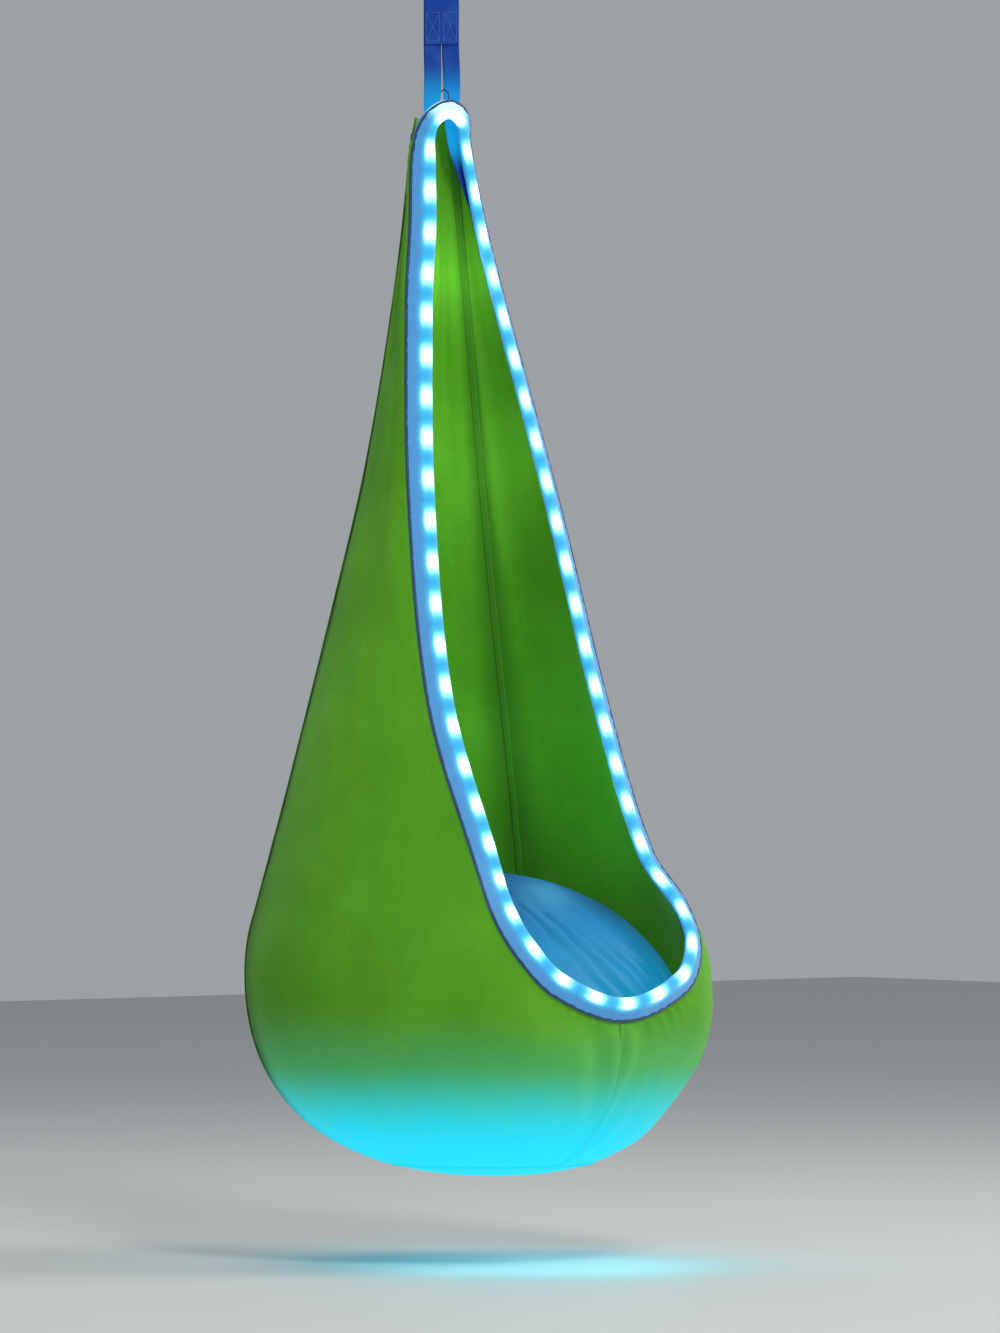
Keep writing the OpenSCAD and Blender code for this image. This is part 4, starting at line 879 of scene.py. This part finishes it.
# %% Binding and stitches along the sleeve
def sleeve_edge(front):
    def line(t):
        s = 2 * RIM_HALF * t
        face = rim_face(s) * front
        p = rim_place(s, 2.2 - rim_width(s) / 2, (LIP_OUT + 0.7) * front)
        return p, rim_along(s).cross(face).normalized(), face
    return line

for word, front in (("front", 1), ("back", -1)):
    strip(f"sleeve_binding_{word}", sleeve_edge(front), 4.6, 0.7, dark_tape, 620, closed=True)
for word, front in (("front", 1), ("back", -1)):
    stitches(f"sleeve_stitches_{word}", [(offset(sleeve_edge(front), 0, 0.7), 700)], blue_thread)

# %% [markdown]
# ## Strap and legs
#
# The strap is webbing doubled round the ring, with two narrower legs sewn between its plies. Each
# leg turns on its way down and then runs behind the sleeve all the way to the lip.

# %% Legs of webbing
TURN = math.radians(-40)
STRAP_TOP, STRAP_LEN, STRAP_W, STRAP_T = -195.0, 115.0, 52.0, 2.4
LEG_W, LEG_T = 26.0, 2.0
STRAP_END = STRAP_TOP - STRAP_LEN
NECK_ROWS = [(50, 14.5, 2, 0.12), (92, 17, 1, 0.4), (128, 22, -2, 0.68), (165, 30, -3, 0.9)]

def turned(x, y, z=0.0):
    return Vector((x * math.cos(TURN) - y * math.sin(TURN), x * math.sin(TURN) + y * math.cos(TURN), z))

def leg_slope(s):
    return math.atan((SLEEVE_T / 2 - LIP_OUT) / (rim_width(s) - SLEEVE_T / 2))

def leg_back(s):
    b, a = LEG_W / 2 + 1, leg_slope(s)
    return rim_place(s, b - rim_width(s) / 2, -LIP_OUT - b * math.tan(a) - (LEG_T / 2 + 1.4) / math.cos(a))

def leg_frames(side):
    """Points down a leg: place, share of the turn that is done, distance along the rim."""
    top = turned(side * (LEG_W / 2 + 0.5), 0)
    rows = [(top + Vector((0, 0, z)), 0.0, None) for z in (STRAP_END + 65, STRAP_END - 2)]
    for drop, across, forward, share in NECK_ROWS:
        y = -forward + (1 - share) * 0.6 * top.y
        rows.append((Vector((side * across, y, STRAP_END - drop)), share, None))
    for i in range(1, RIM_STEPS + 1):
        s = min(rim_station(i), RIM_HALF - 1)
        if rim_station(i) > 0.1 * RIM_HALF:
            p = leg_back(s)
            rows.append((p if side > 0 else flip(p), 1.0, s))
    first = next(s for _, _, s in rows if s is not None)
    frames = []
    for p, share, s in rows:
        s = first if s is None else s
        a = leg_slope(s)
        right = rim_face(s) * math.sin(a) - rim_along(s).cross(rim_face(s)) * math.cos(a)
        there = right if side > 0 else -flip(-right)
        frames.append((p, (turned(1, 0) * (1 - share) + there * share).normalized()))
    return frames

def leg_piece(name, side, node):
    places, ways, length = [], [], 0.0
    for p, across in leg_frames(side):
        length += (p - places[-1][1]).length if places else 0.0
        places.append((length, p))
        ways.append((length, across))
    def place(u, v):
        d = v * length
        p = curve(places, d)
        ahead = (curve(places, min(length, d + 2)) - curve(places, max(0, d - 2))).normalized()
        across = curve(ways, d)
        across = (across - ahead * across.dot(ahead)).normalized()
        curl = (2 * u - 1) ** 2 * 0.5
        return p + across * (u - 0.5) * LEG_W + across.cross(ahead) * curl
    piece = sheet_mesh(name, place, 8, 300, (LEG_W * MM, length * MM), leg_webbing)
    thicken(piece, LEG_T)
    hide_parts(node)
    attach(piece, "pod")
    return piece

leg_piece("right_leg_webbing", 1, "edge_webbing_right")
leg_piece("left_leg_webbing", -1, "edge_webbing_left")

# %% Strap
BAR_R, BAR_GAP, PLY_GAP = 3.5, 0.3, 0.2

def strap_section():
    """Path round the ring's bar and down both plies, from the front end to the back end."""
    loop = BAR_R + BAR_GAP + STRAP_T / 2
    half = LEG_T / 2 + PLY_GAP + STRAP_T / 2
    turns = [math.radians(180 - 180 * k / 12) for k in range(13)]
    return ([(-half, -STRAP_LEN), (-half, -22)] + [(loop * math.cos(a), loop * math.sin(a)) for a in turns]
            + [(half, -22), (half, -STRAP_LEN)])

section = strap_section()
section_keys = [0.0]
for k in range(1, len(section)):
    section_keys.append(section_keys[-1] + math.dist(section[k - 1], section[k]))
section_length = section_keys[-1]

def strap_point(u, v):
    d = v * section_length
    k = max(i for i in range(len(section) - 1) if section_keys[i] <= d + 1e-9)
    share = (d - section_keys[k]) / (section_keys[k + 1] - section_keys[k])
    y = mix(section[k][0], section[k + 1][0], share)
    z = mix(section[k][1], section[k + 1][1], share)
    x = (u - 0.5) * STRAP_W
    edge = (2 * u - 1) ** 8 * 0.25
    wave = 0.25 * ripple(x / 12, z / 14, 3)
    inward = -1 if y > 0 else 1
    return turned(x, y + (edge + wave) * inward * ease((-z - 8) / 30), STRAP_TOP + z)

strap = sheet_mesh("strap", strap_point, 24, 150, (STRAP_W * MM, section_length * MM), strap_webbing)
thicken(strap, STRAP_T)
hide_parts("hanging_strap")
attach(strap, "pod")

# %% Bar tacks and box stitches on the strap
def face_line(x0, z0, x1, z1, front):
    out = -1 if front else 1
    y = (LEG_T / 2 + PLY_GAP + STRAP_T + 0.15) * out
    def line(t):
        return turned(mix(x0, x1, t), y, mix(z0, z1, t)), turned(1, 0), turned(0, out)
    return line

def box_stitch(front):
    low, high = STRAP_END + 5, STRAP_END + 48
    rows = []
    for left, right in ((-23, -3), (3, 23)):
        corners = [(left, low), (right, low), (right, high), (left, high), (left, low), (right, high)]
        for a, b in list(zip(corners, corners[1:])) + [((left, high), (right, low))]:
            rows.append((face_line(*a, *b, front), max(3, round(math.dist(a, b) / 3.4))))
    for k in range(4):
        z = STRAP_TOP - 27 - 2.2 * k
        rows.append((face_line(-22, z, 22, z, front), 14))
    return rows

for word in ("front", "back"):
    stitches(f"strap_stitches_{word}", box_stitch(word == "front"), blue_thread, length=2.9, thick=0.9)

# %% [markdown]
# ## Air cushion
#
# The cushion is two rounds of vinyl welded at their edge and blown up. The top is drawn in by the
# weld, so short folds run up from it. The outline is spun into a closed shape, swollen by a
# cloth simulation with air pressure inside, and the folds are moved in afterwards.

# %% Cushion
CUSHION_LOW, CUSHION_MID, CUSHION_RISE = 25.5, 200.0, 250.0
CUSHION_Y = -lean(CUSHION_MID)
CUSHION_GAP, HALF_BACK = 10.5, 1.5  # room to the back panel, and half its thickness

def cushion_fit(h):
    return (half_width(outline_at(h)) - abs(lean(h) - lean(CUSHION_MID)) - HALF_BACK - CUSHION_GAP
            - 28 * (1 - ease((h - CUSHION_LOW) / 70)))

CUSHION_R = cushion_fit(CUSHION_MID)

def cushion_outline():
    pts = [(cushion_fit(CUSHION_LOW) * k / 7, CUSHION_LOW) for k in range(8)]
    heights = [mix(CUSHION_LOW, CUSHION_MID, (k / 20) ** 1.5) for k in range(1, 21)]
    pts += [(cushion_fit(h), h) for h in heights]
    turns = [math.radians(k) for k in range(1, 90)]
    pts += [(CUSHION_R * math.cos(a), CUSHION_MID + CUSHION_RISE * math.sin(a)) for a in turns]
    return pts + [(0.0, CUSHION_MID + CUSHION_RISE)]

SWELL = 3.0  # the shape starts this much smaller and is blown up

def make_cushion():
    bm = bmesh.new()
    verts = [bm.verts.new(Vector((max(0, r - SWELL), 0, h)) * MM) for r, h in cushion_outline()]
    edges = [bm.edges.new(pair) for pair in zip(verts, verts[1:])]
    bmesh.ops.spin(bm, geom=verts + edges, angle=2 * math.pi, steps=400, axis=(0, 0, 1),
                   cent=(0, 0, 0), use_merge=True)
    bmesh.ops.remove_doubles(bm, verts=bm.verts[:], dist=0.00005)
    bmesh.ops.recalc_face_normals(bm, faces=bm.faces[:])
    return keep("air_cushion", bm, cushion_vinyl)

def blow_up(piece, pressure, cap, frames=20):
    """Swell a closed piece with air pressure; no point moves further than cap millimetres."""
    before = [v.co.copy() for v in piece.data.vertices]
    cloth = piece.modifiers.new("air", "CLOTH")
    cloth.settings.use_pressure = True
    cloth.settings.uniform_pressure_force = pressure
    cloth.settings.quality = 6
    cloth.settings.tension_stiffness = cloth.settings.compression_stiffness = 25
    cloth.settings.bending_stiffness = 0.8
    cloth.settings.effector_weights.gravity = 0
    cloth.collision_settings.use_collision = False
    cloth.point_cache.frame_start, cloth.point_cache.frame_end = 1, frames
    for k in range(1, frames + 1):
        bpy.context.scene.frame_set(k)
    bake(piece)
    bpy.context.scene.frame_set(1)
    for vert, old in zip(piece.data.vertices, before):
        vert.co = old + (vert.co - old).normalized() * min((vert.co - old).length, cap * MM)

# Creases on the front of the dome: degrees from the front, depth in millimetres
CREASES = [(-8, 4.0), (-1, 5.4), (5, 5.0), (11, 6.0), (17, 5.6), (24, 5.0), (32, 4.0)]
cushion = make_cushion()
blow_up(cushion, 4.0, 4.0)
for vert in cushion.data.vertices:
    p = vert.co / MM
    r = math.hypot(p.x, p.y)
    angle = math.degrees(math.atan2(p.x, -p.y))
    if r > 20:
        seam_gap = abs(p.z - CUSHION_MID)
        top = p.z > CUSHION_MID
        pinch = -5.0 * math.exp(-(seam_gap / 9) ** 2)
        folds = math.sin(math.radians(angle) * 46 + 4 * ripple(angle / 12, 0, 71))
        folds *= math.exp(-seam_gap / 34) * (2.6 if top else 1.6) * (0.6 + 0.8 * ripple(angle / 18, 2.0, 73))
        long = 3.2 * ripple(angle / 9, p.z / 120, 75) * ease((p.z - 120) / 120) * ease((470 - p.z) / 120)
        slack = 2.2 * ripple(angle / 30, p.z / 60, 77)
        reach = ease((p.z - 60) / 50)
        for k, (centre, deep) in enumerate(CREASES):
            off = angle - centre + (p.z - 330) * 0.15 + 2.0 * ripple(p.z / 40, k, 83)
            deep *= ease((p.z - 215) / 40) * ease((420 - 12 * k - p.z) / 70)
            folds += deep * (0.5 * math.exp(-((off - 3.2) / 1.8) ** 2) - 1.5 * math.exp(-(off / 0.95) ** 2))
        move = (pinch + folds + min(0.5, long) + min(0.5, slack)) * reach
        out = Vector((p.x / r, p.y / r, 0.35 if top else 0)).normalized()
        p = p + out * min(move, 3.5)
    vert.co = (p + Vector((0, CUSHION_Y, POD_Z))) * MM
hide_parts("cushion_skin")
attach(cushion, "cushion")

# %% Weld round the cushion
def weld_line(t):
    a = 2 * math.pi * t
    out = Vector((math.sin(a), -math.cos(a), 0))
    wave = 1.0 * math.sin(a * 46) + 1.5 * ripple(t * 40, 0, 79) * math.sin(math.pi * t)
    p = out * (CUSHION_R - 5) + Vector((0, CUSHION_Y, POD_Z + CUSHION_MID + wave))
    return p, out, Vector((0, 0, 1))

weld = strip("cushion_weld", weld_line, 9, 1.2, cushion_vinyl, 240, closed=True)
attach(weld, "cushion")
print("cushion", len(cushion.data.polygons), "faces")

# %% [markdown]
# ## Battery pocket
#
# The battery case sits in a pocket sewn to the back panel. The pocket is a pouch of the same
# cloth, a little uneven along its walls, and its upper edge is bound with a sewn tape.

# %% Pocket
def make_pocket():
    bm = bmesh.new()
    bm.from_mesh(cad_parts["battery_pocket"].data)
    bmesh.ops.remove_doubles(bm, verts=bm.verts[:], dist=0.00001)
    bmesh.ops.join_triangles(bm, faces=bm.faces[:], angle_face_threshold=0.01, angle_shape_threshold=3.2)
    long_edges = [e for e in bm.edges if e.calc_length() > 0.03]
    bmesh.ops.subdivide_edges(bm, edges=long_edges, cuts=18, use_grid_fill=True)
    layer = bm.loops.layers.uv.new("cut")
    for face in bm.faces:
        for loop in face.loops:
            x, y, z = loop.vert.co
            loop[layer].uv = (x + y * 0.7, z + y * 0.7)
    return keep("battery_pouch", bm, green_cloth)

pocket = make_pocket()
for vert in pocket.data.vertices:
    p = vert.co
    vert.co = p + Vector((0, 0, 0.0006 * ripple(p.x * 60, p.z * 60, 81)))
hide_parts("battery_pocket")
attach(pocket, "pod")
left, right = (corner[0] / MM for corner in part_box("battery_pocket"))
mouth = max(v.co.z for v in pocket.data.vertices) / MM
face = min(v.co.y for v in pocket.data.vertices if v.co.z / MM > mouth - 12) / MM

def pocket_edge(t):
    p = Vector((mix(left + 3, right - 3, t), face - 0.3, mouth - 4))
    return p, Vector((0, 0, 1)), Vector((0, -1, 0))

strip("pocket_binding", pocket_edge, 7, 0.8, green_cloth, 40)
stitches("pocket_stitches", [(offset(pocket_edge, -2.4, 0.7), 36)], green_thread)

# %% [markdown]
# ## Floor, light and camera
#
# The swing hangs over a plain pale floor. The light is soft and low, so that the lit sleeve and
# the glowing base can be seen. The camera looks level at the middle of the pod from its front left.

# %% Floor and backdrop
FLOOR_Z = -2.13

def studio():
    bm = bmesh.new()
    bmesh.ops.create_grid(bm, x_segments=1, y_segments=1, size=9)
    bmesh.ops.translate(bm, vec=(0, 0, FLOOR_Z), verts=bm.verts[:])
    f = Finish("pale floor")
    speck = f.noise(f.place(), 3.0, 3.0)
    shade = f.blend(speck * 0.3, tone(196, 198, 198), tone(186, 188, 188))
    keep("floor", bm, f.set(colour=shade, rough=0.6))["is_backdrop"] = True

studio()

# %% Lights
def add_light(name, kind, place, power, colour):
    data = bpy.data.lights.new(name, kind)
    data.energy, data.color = power, colour
    light = bpy.data.objects.new(name, data)
    light.location = place
    bpy.context.scene.collection.objects.link(light)
    return light

def area_light(name, place, target, size, power, colour=(1, 1, 1)):
    light = add_light(name, "AREA", place, power, colour)
    light.data.shape, light.data.size = "DISK", size
    light.rotation_euler = (Vector(target) - Vector(place)).to_track_quat("-Z", "Y").to_euler()

aim = (0, -0.05, -1.4)
area_light("key light", (-1.5, -4.2, 2.1), aim, 1.3, 135, (1.0, 0.99, 0.95))
area_light("fill light", (3.4, -2.6, 0.9), aim, 2.6, 120, (1.0, 0.98, 0.95))
area_light("top light", (0.5, 1.5, 2.4), aim, 2.5, 60)
area_light("floor glow", (0, -0.25, -1.985), (0, -0.25, -3), 0.5, 0.9, (0.05, 0.75, 0.85))
for name, place, power, radius, colour in (
        ("arch inner light", (0, -0.02, -0.66), 0.25, 0.03, (0.85, 1.0, 0.9)),
        ("seat inner light", (0.12, -0.16, -1.46), 0.7, 0.05, (0.2, 0.9, 1.0)),
        ("upper inner light", (0, -0.03, -0.95), 0.28, 0.05, (0.85, 1.0, 0.9)),
        ("lower inner light", (0, -0.08, -1.30), 0.35, 0.1, (0.8, 1.0, 0.95))):
    add_light(name, "POINT", place, power, colour).data.shadow_soft_size = radius
bpy.context.scene.view_settings.view_transform = "Standard"
world = bpy.data.worlds.new("studio")
bpy.context.scene.world = world
world.use_nodes = True
sky = world.node_tree.nodes["Background"].inputs
sky["Color"].default_value, sky["Strength"].default_value = (0.62, 0.65, 0.68, 1), 0.55

# %% Camera
AIM, VIEW_TURN, FAR = Vector((0.0678, -0.0569, -1.243)), math.radians(-40), 14.0

def camera():
    data = bpy.data.cameras.new("camera")
    data.lens, data.sensor_width, data.sensor_fit = 18 * FAR, 36, "AUTO"
    eye = bpy.data.objects.new("camera", data)
    eye.location = AIM + Vector((-0.6428, -0.7660, 0)) * FAR
    eye.rotation_euler = (math.radians(90), 0, VIEW_TURN)
    bpy.context.scene.collection.objects.link(eye)
    bpy.context.scene.camera = eye

camera()

# %% Compare the boxes and finish
shown_box = [list(corner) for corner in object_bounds()]
growth = [round(abs(a - b) / MM, 1) for ca, cb in zip(cad_box, shown_box) for a, b in zip(ca, cb)]
print("grown by", growth, "mm")
